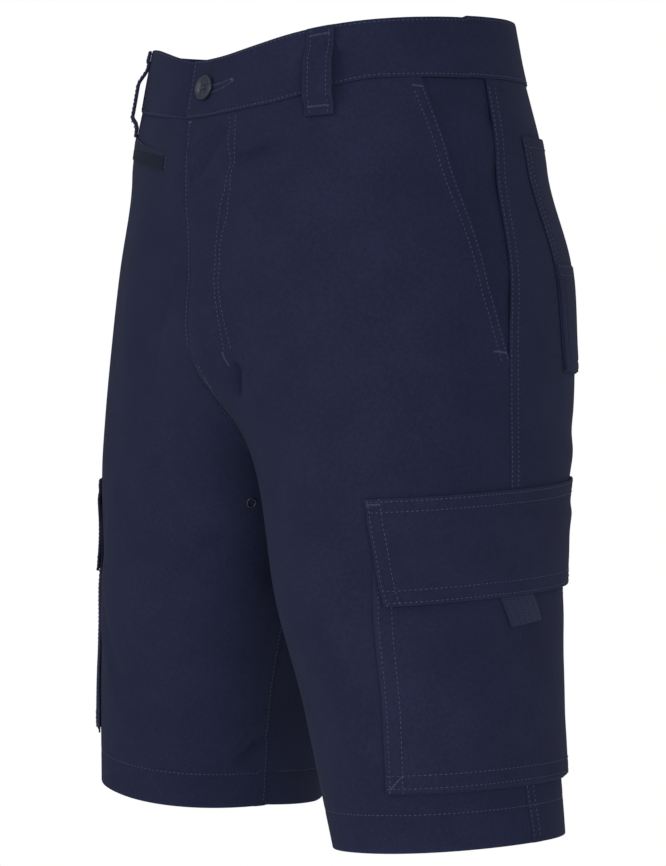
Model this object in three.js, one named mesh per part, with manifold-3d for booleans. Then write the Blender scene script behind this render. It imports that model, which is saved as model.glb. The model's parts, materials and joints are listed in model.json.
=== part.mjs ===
// Cargo work shorts in navy cotton twill, filled out as when worn, with nothing inside.
// Millimetres, +Z up, +X to the wearer's left, the front towards -Y.
// The origin is the middle of the waist, halfway down the waistband.
import * as THREE from "three";
import { mergeVertices } from "three/addons/utils/BufferGeometryUtils.js";
import Module from "manifold-3d";

const wasm = await Module();
wasm.setup();

// Cloth
const CLOTH = 1.5; // wall of one panel
const SEAM_GAP = 0.3; // between pieces that are sewn together
const LAID_GAP = 0.6; // under a piece laid on a panel, between the flats of their grids
const HEM = 25; // depth of the turned-up hem
const HEM_WALL = 2.8; // wall where the hem is turned up

// The body: each half is an oval about the leg, cut off at the middle of the garment above the crotch
const OVAL = 2 / 2.2; // power that squares the ovals a little
const HELD_LEVEL = 21; // from the waist's top edge down to the origin
const CROTCH = 320; // depth of the crotch below the waist's top edge
const LENGTH = 570; // depth of the hem
const SECTIONS = [
  { depth: 0, centreX: 0, centreY: 1, halfWidth: 148, front: 113, back: 114 },
  { depth: 40, centreX: 0, centreY: -1, halfWidth: 155, front: 117, back: 126 },
  { depth: 100, centreX: 0, centreY: -2, halfWidth: 165, front: 124, back: 145 },
  { depth: 170, centreX: 27, centreY: -4, halfWidth: 152, front: 120, back: 159 },
  { depth: 230, centreX: 58, centreY: -10, halfWidth: 128, front: 110, back: 155 },
  { depth: 280, centreX: 84, centreY: -14, halfWidth: 108, front: 101, back: 143 },
  { depth: CROTCH, centreX: 98, centreY: -16, halfWidth: 98, front: 96, back: 132 },
  { depth: 400, centreX: 109, centreY: -18, halfWidth: 87, front: 92, back: 115 },
  { depth: 480, centreX: 127, centreY: -14, halfWidth: 77, front: 87, back: 96 },
  { depth: LENGTH, centreX: 143, centreY: -4, halfWidth: 70, front: 89, back: 80 },
];
const WAIST_TILT = 5.4; // the back of the waist stands this much higher than its middle
const WAIST_TILT_SPAN = 115;
const FRONT_DIP = 20; // the front of the waist dips by this much
const FRONT_DIP_WIDTH = 89; // on the left
const RIGHT_DIP_WIDTH = 65;
const WAIST_FADE = 150; // depth at which the tilt and dip have died out
const HEM_RISE_OUT = 7.6; // the hem stands higher at the side than at the inseam
const HEM_DROP_BACK = 2.2; // and lower at the back
const RIGHT_HEM_BACK = 16; // the right leg swings back by this much at the hem

// The lower fly stands forward of the ovals, most at this depth, and fades out above and below it
const FLY_FORM = { forward: 15, depth: 238, above: 50, below: 33, width: 34 };

// Soft folds: each is a ridge (height over 0) or a trough from one place to another
const FOLDS = [
  { side: -1, fromAngle: -84, fromDepth: 130, toAngle: -112, toDepth: 252, width: 11, height: -3.2 },
  { side: -1, fromAngle: -70, fromDepth: 120, toAngle: -80, toDepth: 260, width: 16, height: 2.4 },
  { side: 1, fromAngle: -84, fromDepth: 100, toAngle: -50, toDepth: 76, width: 9, height: -2.2 },
  { side: 1, fromAngle: -80, fromDepth: 128, toAngle: -58, toDepth: 108, width: 12, height: 1.6 },
  { side: 1, fromAngle: -66, fromDepth: 345, toAngle: -58, toDepth: 400, width: 13, height: -3.0 },
  { side: 1, fromAngle: -92, fromDepth: 470, toAngle: -70, toDepth: 420, width: 14, height: 1.8 },
  { side: -1, fromAngle: -150, fromDepth: 365, toAngle: -120, toDepth: 392, width: 9, height: -2.2 },
  { side: -1, fromAngle: -168, fromDepth: 395, toAngle: -130, toDepth: 418, width: 10, height: 1.8 },
  { side: -1, fromAngle: -66, fromDepth: 345, toAngle: -60, toDepth: 400, width: 13, height: -2.4 },
  { side: 1, fromAngle: 168, fromDepth: 334, toAngle: 96, toDepth: 300, width: 13, height: -3.2 },
  { side: 1, fromAngle: 172, fromDepth: 372, toAngle: 100, toDepth: 352, width: 12, height: -2.4 },
  { side: -1, fromAngle: 165, fromDepth: 338, toAngle: 92, toDepth: 306, width: 13, height: -3.0 },
  { side: -1, fromAngle: 172, fromDepth: 380, toAngle: 108, toDepth: 356, width: 12, height: -2.6 },
];
const FOLD_SCALE = 2; // millimetres round the leg for one degree, for a fold's length and width

// Places round the leg are angles: 0 at the side, -90 at the front, 90 at the back
const SIDE_SEAM = 5.5;
const ROW_DEPTHS = [62, 85, 112, 140, 165, 190, 214, 236, 254, 270, 284, 296, 306, 313, 317.5, CROTCH, 334,
  356, 384, 414, 446, 480, 512, LENGTH - HEM - 1, LENGTH - HEM + 1, LENGTH];
const COLUMNS = 13; // of each panel's grid, up to its last few
const EDGE_STRIP = 24; // the last few columns lie within this distance of the middle or the inseam
const EDGE_SHARES = [0.4, 0.67, 1]; // where they lie across it
const SHARE_POWER = 0.88; // spaces the even columns so that they are even round a leg
const SPREAD = 2; // how fast the columns spread towards the crotch
const SPREAD_DEPTH = 290; // from here down they spread more slowly than the crotch curve
const SPREAD_EASE = 30;

// Waistband
const BAND_WIDTH_SIDE = 43;
const BAND_EXTRA_FRONT = 6; // deeper in front, where the waist dips
const BAND_EXTRA_SPAN = 35;
const BAND_OUT = 0.6; // its outer face stands this much proud of the panels
const BAND_WALL = 2.5;
const BAND_COLUMNS = 72;
const OVERLAP_ANGLE = 3.5; // the left end laps this far past the middle
const UNDERLAP_ANGLE = 13; // and the right end runs this far under it
const UNDERLAP_EASE = 9; // over which the right end dips inwards

// Fly
const FLY_LAP = 6; // the left front laps over the right one by this much
const FLY_BOTTOM = 256;
const FLY_RECESS = CLOTH + SEAM_GAP; // the right front dips under the left one
const FLY_GROOVE = 16; // width of the groove beside the fly
const ZIP = { bottom: 232, half: 13, chainHalf: 2.6, outer: -4.7, tape: 0.8, chain: 1.8 };
const SHIELD = { bottom: 238, right: -16, left: 36, outer: -7.3, wall: CLOTH };

// Slant hand pockets: the front is cut away along this line, and a facing shows behind it
const HAND_POCKET = [
  { depth: 40, angle: -17.8 },
  { depth: 98, angle: -10 },
  { depth: 140, angle: -4.7 },
  { depth: 190, angle: -0.2 },
  { depth: 238, angle: SIDE_SEAM },
];
const FACING = { under: 7, past: 1.6, bottom: 252, recess: 2.5, gape: 2.6 };

// Back patch pockets, with a second layer on the lower half
const BACK_POCKET = {
  top: { front: 17.5, back: 74, frontDepth: 82, backDepth: 79 },
  bottom: { front: 31.5, back: 83, frontDepth: 246, backDepth: 249 },
  wall: 1.3,
  hemShare: 0.12,
  hemExtra: 0.8,
};
const PATCH = { fromShare: 0.535, wall: 1.2, margin: 0.006 };

// Small welt pocket, on the right front only
const FOB = {
  top: { front: -79.4, back: -48, frontDepth: 81.5, backDepth: 68 },
  bottom: { front: -79.4, back: -47, frontDepth: 97.5, backDepth: 84.5 },
  wall: 1.5,
};

// Cargo pockets: a tray of cloth on the side of each leg, flat at its mouth under a flap
const CARGO = {
  top: 349,
  bottom: 531,
  frontTop: -52,
  frontBottom: -64,
  backTop: 63,
  backBottom: 74,
  mouthStand: 2.1, // outer face above the leg at the mouth
  stand: 5.5, // and below the flap
  standFrom: 372,
  standTo: 425,
  rimShare: 0.008, // share of its width that its side walls take
  rimRound: 0.6,
  splay: 1.4, // its front and back edges lean out more towards the bottom
  wall: CLOTH,
};
const FLAP = {
  top: { front: -56, back: 67, frontDepth: 330, backDepth: 320 },
  bottom: { front: -48.5, back: 60, frontDepth: 403, backDepth: 395 },
  wall: 1.9,
  climbFrom: 336, // depths between which it climbs onto the pocket's mouth
  climbTo: 347,
  lift: 1.6, // its lower edge stands off by this much more
};
const TAB = { front: 2, back: 16, top: 388, bottom: 421, lean: 5.3, wall: 1.2 };

// Belt loops
const LOOP = { width: 20, top: 1, bottom: 68, wall: 2.2, end: 9, ease: 10, stand: 5.2, fold: 0.9 };
const LOOPS = [
  { name: "belt_loop_front_left", angle: -49.5 },
  { name: "belt_loop_front_right", angle: -130.5 },
  { name: "belt_loop_back_left", angle: 66 },
  { name: "belt_loop_back_right", angle: 114 },
  { name: "belt_loop_back_middle", angle: 90 },
];

// Waist button, flat with a rim and four holes
const BUTTON = {
  angle: -88,
  depth: 27.5,
  radius: 9,
  thick: 3,
  rim: 1.6,
  dish: 0.9,
  holeRadius: 0.9,
  holeOff: 1.7,
};

// Vent eyelet near each inseam
const EYELET = { angle: -155, depth: 341, outerRadius: 4.2, innerRadius: 2.2, height: 0.9 };

const TWILL = { color: 0x23263a, roughness: 0.86, metalness: 0 };
const MATERIALS = {
  twill: new THREE.MeshStandardMaterial(TWILL),
  pocketTwill: new THREE.MeshStandardMaterial({ ...TWILL, color: 0x262a3f }),
  webbing: new THREE.MeshStandardMaterial({ color: 0x3c4254, roughness: 0.8, metalness: 0 }),
  tape: new THREE.MeshStandardMaterial({ color: 0x1d2030, roughness: 0.9, metalness: 0 }),
  button: new THREE.MeshStandardMaterial({ color: 0x2b2f42, roughness: 0.45, metalness: 0 }),
  eyelet: new THREE.MeshStandardMaterial({ color: 0x5a5c62, roughness: 0.4, metalness: 0.9 }),
};

const radians = THREE.MathUtils.degToRad;
const mix = THREE.MathUtils.lerp;
const clamp = THREE.MathUtils.clamp;
const smooth = THREE.MathUtils.smoothstep;

// Slopes of a curve that passes through rows of a table without overshooting
function slopes(rows, key) {
  const gap = rows.slice(1).map((row, i) => row.depth - rows[i].depth);
  const rise = rows.slice(1).map((row, i) => (row[key] - rows[i][key]) / gap[i]);
  return rows.map((row, i) => {
    if (i === 0) return rise[0];
    if (i === rows.length - 1) return rise[i - 1];
    if (rise[i - 1] * rise[i] <= 0) return 0;
    const before = 2 * gap[i] + gap[i - 1];
    const after = gap[i] + 2 * gap[i - 1];
    return (before + after) / (before / rise[i - 1] + after / rise[i]);
  });
}

// A column of a table as a smooth function of depth
function column(rows, key) {
  const slope = slopes(rows, key);
  return (depth) => {
    const d = clamp(depth, rows[0].depth, rows[rows.length - 1].depth);
    let i = 0;
    while (i < rows.length - 2 && rows[i + 1].depth < d) i += 1;
    const gap = rows[i + 1].depth - rows[i].depth;
    const t = (d - rows[i].depth) / gap;
    const rest = 1 - t;
    const ends = rows[i][key] * (1 + 2 * t) * rest * rest + rows[i + 1][key] * (3 - 2 * t) * t * t;
    return ends + gap * (slope[i] * t * rest * rest - slope[i + 1] * rest * t * t);
  };
}

const centreX = column(SECTIONS, "centreX");
const centreY = column(SECTIONS, "centreY");
const halfWidth = column(SECTIONS, "halfWidth");
const frontReach = column(SECTIONS, "front");
const backReach = column(SECTIONS, "back");
const handPocketEdge = column(HAND_POCKET, "angle");

// How far the folds push the cloth out at a place
function foldHeight(side, angle, depth) {
  let height = 0;
  for (const fold of FOLDS.filter((one) => one.side === side)) {
    const round = (fold.toAngle - fold.fromAngle) * FOLD_SCALE;
    const along = new THREE.Vector2(round, fold.toDepth - fold.fromDepth);
    const here = new THREE.Vector2((angle - fold.fromAngle) * FOLD_SCALE, depth - fold.fromDepth);
    const length = along.length();
    along.normalize();
    const t = here.dot(along) / length;
    const across = here.cross(along) / fold.width;
    const ends = smooth(t, -0.15, 0.3) * (1 - smooth(t, 0.7, 1.15));
    height += fold.height * ends * Math.exp(-across * across);
  }
  return height;
}

// How far forward the fly stands, by the distance from the middle
function flyForward(x, depth) {
  const span = depth < FLY_FORM.depth ? FLY_FORM.above : FLY_FORM.below;
  const down = (depth - FLY_FORM.depth) / span;
  return FLY_FORM.forward * Math.exp(-down * down - (x / FLY_FORM.width) ** 2);
}

// A point of the outer face of one leg's oval
function ovalPoint(side, angle, depth) {
  const c = Math.cos(radians(angle));
  const s = Math.sin(radians(angle));
  const swing = side < 0 ? RIGHT_HEM_BACK * clamp((depth - 380) / 190, 0, 1) : 0;
  const reach = s < 0 ? frontReach(depth) : backReach(depth) + swing;
  const fold = foldHeight(side, angle, depth);
  const out = Math.sign(c) * Math.abs(c) ** OVAL;
  const x = centreX(depth) + halfWidth(depth) * out + fold * c;
  const forward = s < 0 ? flyForward(x, depth) : 0;
  const y = centreY(depth) + reach * Math.sign(s) * Math.abs(s) ** OVAL + fold * s - forward;
  const fade = clamp(1 - depth / WAIST_FADE, 0, 1) ** 1.5;
  const dipWidth = side * x < 0 ? RIGHT_DIP_WIDTH : FRONT_DIP_WIDTH;
  const dip = s < 0 ? FRONT_DIP * Math.exp(-((x / dipWidth) ** 2)) : 0;
  const hem = clamp((depth - CROTCH) / (LENGTH - CROTCH), 0, 1);
  const tilt = (WAIST_TILT * (y - centreY(0))) / WAIST_TILT_SPAN - dip;
  const sweep = HEM_RISE_OUT * out - (HEM_DROP_BACK * y) / 90;
  return new THREE.Vector3(side * x, y, HELD_LEVEL - depth + fade * tilt + hem * sweep);
}

// The direction that the outer face looks in
function ovalNormal(side, angle, depth) {
  const round = ovalPoint(side, angle + 1.5, depth).sub(ovalPoint(side, angle - 1.5, depth));
  const down = ovalPoint(side, angle, depth + 3).sub(ovalPoint(side, angle, Math.max(depth - 3, 0)));
  return down.cross(round).multiplyScalar(side).normalize();
}

function ovalOffset(side, angle, depth, out) {
  return ovalPoint(side, angle, depth).addScaledVector(ovalNormal(side, angle, depth), out);
}

// The angle at which a half meets the middle of the garment, or the inseam
function middleAngle(depth) {
  const share = clamp(centreX(depth) / halfWidth(depth), 0, 1);
  return THREE.MathUtils.radToDeg(Math.acos(-(share ** (1 / OVAL))));
}

// The angle that lies so many millimetres short of the middle, in front or behind
function angleNearMiddle(sign, depth, fromMiddle) {
  const middle = middleAngle(depth);
  const perDegree = ovalPoint(1, sign * middle, depth).distanceTo(ovalPoint(1, sign * (middle - 1), depth));
  return sign * (middle - fromMiddle / perDegree);
}

// A point that lies some millimetres left of the front's middle line, or right of it when negative
function frontMiddlePoint(fromMiddle, depth, out) {
  const side = fromMiddle < 0 ? -1 : 1;
  const angle = angleNearMiddle(-1, depth, Math.abs(fromMiddle));
  const normal = ovalNormal(side, angle, depth);
  normal.x *= clamp(Math.abs(fromMiddle) / 3, 0, 1);
  return ovalPoint(side, angle, depth).addScaledVector(normal.normalize(), out);
}

// How far the right front is pushed in under the fly, by its distance from the middle
function flyRecess(fromMiddle, depth) {
  const across = 1 - smooth(fromMiddle, FLY_LAP + 2, FLY_LAP + 2 + FLY_GROOVE);
  return FLY_RECESS * across * (1 - smooth(depth, FLY_BOTTOM - 4, FLY_BOTTOM + 14));
}

// Splits the span from one value to another into even steps
function steps(from, to, count) {
  return Array.from({ length: count + 1 }, (_, i) => mix(from, to, i / count));
}

// The waistband's lower edge, which the panels hang from
function bandDepth(angle) {
  return BAND_WIDTH_SIDE + BAND_EXTRA_FRONT * Math.exp(-(((angle + 90) / BAND_EXTRA_SPAN) ** 2));
}

// A closed wall over a grid: at(u, v) gives the outer and the inner point
function wall(name, material, us, vs, at) {
  const pairs = vs.flatMap((v) => us.map((u) => at(u, v)));
  const position = pairs.flatMap((pair) => pair[0].toArray());
  position.push(...pairs.flatMap((pair) => pair[1].toArray()));
  const wide = us.length;
  const inner = pairs.length;
  const index = [];
  const quad = (a, b, c, d) => index.push(a, b, c, a, c, d);
  for (let j = 0; j < vs.length - 1; j += 1) {
    for (let i = 0; i < wide - 1; i += 1) {
      const a = j * wide + i;
      quad(a, a + 1, a + wide + 1, a + wide);
      quad(inner + a + wide, inner + a + wide + 1, inner + a + 1, inner + a);
    }
  }
  const last = (vs.length - 1) * wide;
  for (let i = 0; i < wide - 1; i += 1) {
    quad(inner + i, inner + i + 1, i + 1, i);
    quad(last + i, last + i + 1, inner + last + i + 1, inner + last + i);
  }
  for (let j = 0; j < vs.length - 1; j += 1) {
    const a = j * wide;
    quad(a, a + wide, inner + a + wide, inner + a);
    const b = a + wide - 1;
    quad(inner + b, inner + b + wide, b + wide, b);
  }
  const geometry = new THREE.BufferGeometry();
  geometry.setAttribute("position", new THREE.Float32BufferAttribute(position, 3));
  geometry.setIndex(volume(position, index) < 0 ? index.toReversed() : index);
  return finish(name, material, geometry);
}

// Six times the signed volume of a closed mesh
function volume(position, index) {
  const at = (i) => new THREE.Vector3().fromArray(position, i * 3);
  let sum = 0;
  for (let i = 0; i < index.length; i += 3) sum += at(index[i]).dot(at(index[i + 1]).cross(at(index[i + 2])));
  return sum;
}

function finish(name, material, geometry) {
  geometry.computeVertexNormals();
  const mesh = new THREE.Mesh(geometry, material);
  mesh.name = name;
  return mesh;
}

// Keeps a point on its own side of the middle plane
function ownSide(point, side) {
  point.x = side * Math.max(point.x * side, SEAM_GAP / 2);
  return point;
}

function panelRows() {
  return [0, ...ROW_DEPTHS];
}

// The wall's inner face, deeper where the hem is turned up
function innerFace(depth) {
  return depth > LENGTH - HEM ? -HEM_WALL : -CLOTH;
}

function panelColumns() {
  const even = steps(0, 1, COLUMNS).map((i) => ({ share: i ** SHARE_POWER, strip: 0 }));
  return [...even, ...EDGE_SHARES.map((strip) => ({ share: 1, strip }))];
}

// Where a panel's even columns end, in front or behind
function stripAngle(sign, depth) {
  const slow = Math.max(depth - SPREAD_DEPTH, 0) / SPREAD_EASE;
  const spread = 180 - (180 - middleAngle(Math.min(depth, SPREAD_DEPTH))) * Math.exp(-slow);
  return angleNearMiddle(sign, depth, EDGE_STRIP) + sign * (spread - middleAngle(depth));
}

// Angle of a panel's column: even from the side to the front or back, then spreading to the inseam
function panelAngle(at, from, sign, depth) {
  const last = stripAngle(sign, depth);
  const even = from + (sign * 90 - from) * at.share + (last - sign * 90) * at.share ** SPREAD;
  return mix(even, angleNearMiddle(sign, depth, SEAM_GAP / 2), at.strip);
}

// The depth and angle of a grid point, the first row following the waistband
function panelPlace(at, row, edge, sign) {
  const flat = panelAngle(at, edge(BAND_WIDTH_SIDE), sign, BAND_WIDTH_SIDE);
  const depth = row || bandDepth(flat) + SEAM_GAP;
  return { depth, angle: panelAngle(at, edge(depth), sign, depth) };
}

// Half the seam's gap at the side, as an angle
function seamInset(depth) {
  return SEAM_GAP / 2 / (radians(1) * frontReach(depth));
}

function frontPanel(side) {
  const name = side > 0 ? "front_left" : "front_right";
  const edge = (depth) => Math.min(handPocketEdge(depth), SIDE_SEAM - seamInset(depth));
  return wall(name, MATERIALS.twill, panelColumns(), panelRows(), (at, row) => {
    const { depth, angle } = panelPlace(at, row, edge, -1);
    const inner = innerFace(depth);
    const lap = FLY_LAP * (1 - smooth(depth, FLY_BOTTOM - 50, FLY_BOTTOM));
    if (side > 0 && at.strip === 1 && lap > 0) {
      return [frontMiddlePoint(-lap, depth, 0), frontMiddlePoint(-lap, depth, inner)];
    }
    const dip = side < 0 && at.share === 1 ? flyRecess(EDGE_STRIP * (1 - at.strip), depth) : 0;
    const outer = ownSide(ovalOffset(side, angle, depth, -dip), side);
    return [outer, ownSide(ovalOffset(side, angle, depth, inner - dip), side)];
  });
}

function backPanel(side) {
  const name = side > 0 ? "back_left" : "back_right";
  const edge = (depth) => SIDE_SEAM + seamInset(depth);
  return wall(name, MATERIALS.twill, panelColumns(), panelRows(), (at, row) => {
    const { depth, angle } = panelPlace(at, row, edge, 1);
    const outer = ownSide(ovalOffset(side, angle, depth, 0), side);
    return [outer, ownSide(ovalOffset(side, angle, depth, innerFace(depth)), side)];
  });
}

// The facing that shows in a hand pocket's mouth
function pocketFacing(side) {
  const name = side > 0 ? "pocket_facing_left" : "pocket_facing_right";
  return wall(name, MATERIALS.twill, steps(0, 1, 6), steps(0, 1, 10), (share, down) => {
    const depth = mix(BAND_WIDTH_SIDE + SEAM_GAP, FACING.bottom, down);
    const from = handPocketEdge(depth) - FACING.under;
    const angle = mix(from, SIDE_SEAM + FACING.past, share);
    const gape = FACING.gape * Math.sin(Math.PI * down) * (1 - smooth(share, 0.3, 0.95));
    const top = bandDepth(angle) + SEAM_GAP - BAND_WIDTH_SIDE - SEAM_GAP;
    const out = -FACING.recess - gape;
    const low = depth + top * (1 - down);
    return [ovalOffset(side, angle, low, out), ovalOffset(side, angle, low, out - CLOTH)];
  });
}

// Round the band, from its right end, under the left one, all the way round to the left end
function waistband() {
  const right = -90 + UNDERLAP_ANGLE;
  const left = -450 - OVERLAP_ANGLE;
  const round = steps(right, left, BAND_COLUMNS);
  return wall("waistband", MATERIALS.twill, round, steps(0, 1, 2), (angle, down) => {
    const near = angle < -270 ? angle + 360 : angle;
    const place = near < -90 ? -180 - near : near;
    const tuck = 1 - smooth(-90 - OVERLAP_ANGLE - angle, 1, 1 + UNDERLAP_EASE);
    const out = BAND_OUT - (BAND_WALL + SEAM_GAP) * tuck;
    const depth = bandDepth(place) * down;
    return [ovalOffset(1, angle, depth, out), ovalOffset(1, angle, depth, out - BAND_WALL)];
  });
}

// Rows for a piece behind the fly, at the panels' own depths so that their flats lie alike
function flyRows(bottom) {
  return [bandDepth(-90) + SEAM_GAP, ...ROW_DEPTHS.filter((depth) => depth < bottom), bottom];
}

// A strip behind the fly, reaching either side of the middle
function flyZip() {
  const half = [0, ZIP.chainHalf, ZIP.chainHalf + 0.2, 8, ZIP.half];
  const across = [...half.slice(1).map((x) => -x).toReversed(), ...half];
  return wall("fly_zip", MATERIALS.tape, across, flyRows(ZIP.bottom), (x, depth) => {
    const thick = Math.abs(x) <= ZIP.chainHalf ? ZIP.chain : ZIP.tape;
    return [frontMiddlePoint(x, depth, ZIP.outer), frontMiddlePoint(x, depth, ZIP.outer - thick)];
  });
}

function flyShield() {
  const across = steps(SHIELD.right, SHIELD.left, 8);
  return wall("fly_shield", MATERIALS.twill, across, flyRows(SHIELD.bottom), (x, depth) => {
    const round = smooth(depth, SHIELD.bottom - 40, SHIELD.bottom);
    const narrow = x > 0 ? x * (1 - 0.5 * round * round) : x;
    const outer = frontMiddlePoint(narrow, depth, SHIELD.outer);
    return [outer, frontMiddlePoint(narrow, depth, SHIELD.outer - SHIELD.wall)];
  });
}

// The place in a four-sided patch, across and down it
function patchPlace(patch, across, down) {
  const front = mix(patch.top.front, patch.bottom.front, down);
  const back = mix(patch.top.back, patch.bottom.back, down);
  const atFront = mix(patch.top.frontDepth, patch.bottom.frontDepth, down);
  const atBack = mix(patch.top.backDepth, patch.bottom.backDepth, down);
  return { angle: mix(front, back, across), depth: mix(atFront, atBack, across) };
}

function backPocket(side) {
  const name = side > 0 ? "back_pocket_left" : "back_pocket_right";
  const hem = BACK_POCKET.hemShare;
  const downs = [0, hem, hem + 0.01, 0.25, 0.38, ...steps(PATCH.fromShare, 1, 4)];
  return wall(name, MATERIALS.pocketTwill, steps(0, 1, 12), downs, (across, down) => {
    const { angle, depth } = patchPlace(BACK_POCKET, across, down);
    const extra = down <= BACK_POCKET.hemShare ? BACK_POCKET.hemExtra : 0;
    const outer = LAID_GAP + BACK_POCKET.wall + extra;
    return [ovalOffset(side, angle, depth, outer), ovalOffset(side, angle, depth, LAID_GAP)];
  });
}

function backPatch(side) {
  const name = side > 0 ? "back_pocket_patch_left" : "back_pocket_patch_right";
  const inner = LAID_GAP + BACK_POCKET.wall + SEAM_GAP;
  const acrosses = steps(PATCH.margin, 1 - PATCH.margin, 12);
  const downs = steps(PATCH.fromShare, 1 - PATCH.margin, 4);
  return wall(name, MATERIALS.pocketTwill, acrosses, downs, (across, down) => {
    const { angle, depth } = patchPlace(BACK_POCKET, across, down);
    return [ovalOffset(side, angle, depth, inner + PATCH.wall), ovalOffset(side, angle, depth, inner)];
  });
}

function fobWelt() {
  return wall("fob_pocket_welt", MATERIALS.pocketTwill, steps(0, 1, 8), steps(0, 1, 2), (across, down) => {
    const { angle, depth } = patchPlace(FOB, across, down);
    return [ovalOffset(-1, angle, depth, LAID_GAP + FOB.wall), ovalOffset(-1, angle, depth, LAID_GAP)];
  });
}

function pocketStand(depth) {
  return mix(CARGO.mouthStand, CARGO.stand, smooth(depth, CARGO.standFrom, CARGO.standTo));
}

function cargoPocket(side) {
  const name = side > 0 ? "cargo_pocket_left" : "cargo_pocket_right";
  const rim = CARGO.rimShare;
  const acrosses = [0, rim, 1.2 * rim, ...steps(0.06, 0.94, 12), 1 - 1.2 * rim, 1 - rim, 1];
  const downs = [...steps(0, 0.95, 9), 1 - 1.2 * rim, 1 - rim, 1];
  return wall(name, MATERIALS.pocketTwill, acrosses, downs, (across, down) => {
    const front = mix(CARGO.frontTop, CARGO.frontBottom, down ** CARGO.splay);
    const back = mix(CARGO.backTop, CARGO.backBottom, down ** CARGO.splay);
    const angle = mix(front, back, across);
    const depth = mix(CARGO.top, CARGO.bottom, down);
    const edge = Math.min(across, 1 - across, 1 - down);
    const stand = pocketStand(depth);
    const outer = edge === 0 ? Math.max(stand - CARGO.rimRound, CARGO.mouthStand) : stand;
    const inner = edge <= rim ? LAID_GAP : stand - CARGO.wall;
    return [ovalOffset(side, angle, depth, outer), ovalOffset(side, angle, depth, inner)];
  });
}

function cargoFlap(side) {
  const name = side > 0 ? "cargo_flap_left" : "cargo_flap_right";
  const downs = [0, 0.08, 0.15, 0.23, 0.3, 0.36, 0.5, 0.65, 0.8, 1];
  return wall(name, MATERIALS.pocketTwill, steps(0, 1, 14), downs, (across, down) => {
    const { angle, depth } = patchPlace(FLAP, across, down);
    const climb = pocketStand(depth) * smooth(depth, FLAP.climbFrom, FLAP.climbTo);
    const inner = LAID_GAP + climb + FLAP.lift * smooth(down, 0.45, 0.78);
    return [ovalOffset(side, angle, depth, inner + FLAP.wall), ovalOffset(side, angle, depth, inner)];
  });
}

function cargoTab(side) {
  const name = side > 0 ? "cargo_tab_left" : "cargo_tab_right";
  return wall(name, MATERIALS.webbing, steps(0, 1, 3), steps(0, 1, 3), (across, down) => {
    const angle = mix(TAB.front, TAB.back, across) + TAB.lean * down;
    const depth = mix(TAB.top, TAB.bottom, down);
    const inner = pocketStand(depth) + SEAM_GAP;
    return [ovalOffset(side, angle, depth, inner + TAB.wall), ovalOffset(side, angle, depth, inner)];
  });
}

// A belt loop lies on the band and the panel at its two ends and stands off between them
function beltLoop(name, angle) {
  const place = angle > 90 ? 180 - angle : angle;
  const half = place < -90 ? -180 - place : place;
  const perDegree = ovalPoint(1, angle + 1, 20).distanceTo(ovalPoint(1, angle, 20));
  const spread = LOOP.width / 2 / perDegree;
  const depths = [LOOP.top, LOOP.end - 2, LOOP.end, LOOP.end + 5, LOOP.end + LOOP.ease, 28, 38,
    LOOP.bottom - LOOP.end - LOOP.ease, LOOP.bottom - LOOP.end - 5, LOOP.bottom - LOOP.end,
    LOOP.bottom - LOOP.end + 2, LOOP.bottom];
  return wall(name, MATERIALS.twill, steps(angle - spread, angle + spread, 3), depths, (at, depth) => {
    const inBand = 1 - smooth(depth, bandDepth(half) - 8, bandDepth(half) + 2);
    const seat = SEAM_GAP + BAND_OUT * inBand;
    const up = smooth(depth, LOOP.end - 1, LOOP.end + LOOP.ease);
    const down = smooth(depth, LOOP.bottom - LOOP.end - LOOP.ease, LOOP.bottom - LOOP.end + 1);
    const inner = mix(seat, BAND_OUT + LOOP.stand, up * (1 - down));
    const folded = depth < LOOP.end - 1 || depth > LOOP.bottom - LOOP.end + 1;
    const outer = inner + LOOP.wall + (folded ? LOOP.fold : 0);
    return [ovalOffset(1, at, depth, outer), ovalOffset(1, at, depth, inner)];
  });
}

function solid(geometry) {
  const plain = geometry.clone();
  plain.deleteAttribute("normal");
  plain.deleteAttribute("uv");
  const merged = mergeVertices(plain, 1e-4);
  const vertProperties = new Float32Array(merged.attributes.position.array);
  const triVerts = new Uint32Array(merged.index.array);
  return new wasm.Manifold(new wasm.Mesh({ numProp: 3, vertProperties, triVerts }));
}

// Turns a piece made along +Y to look out of the cloth at a place
function seat(mesh, side, angle, depth, out) {
  const normal = ovalNormal(side, angle, depth);
  mesh.position.copy(ovalPoint(side, angle, depth)).addScaledVector(normal, out);
  mesh.quaternion.setFromUnitVectors(new THREE.Vector3(0, 1, 0), normal);
  return mesh;
}

// Seats a small piece on the flat of a panel's grid that lies under its place
function seatOnFlat(mesh, panel, side, angle, depth) {
  const normal = ovalNormal(side, angle, depth);
  const start = ovalPoint(side, angle, depth).addScaledVector(normal, 10);
  const [hit] = new THREE.Raycaster(start, normal.clone().negate()).intersectObject(panel);
  mesh.position.copy(hit.point).addScaledVector(hit.face.normal, SEAM_GAP);
  mesh.quaternion.setFromUnitVectors(new THREE.Vector3(0, 1, 0), hit.face.normal);
  return mesh;
}

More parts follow.
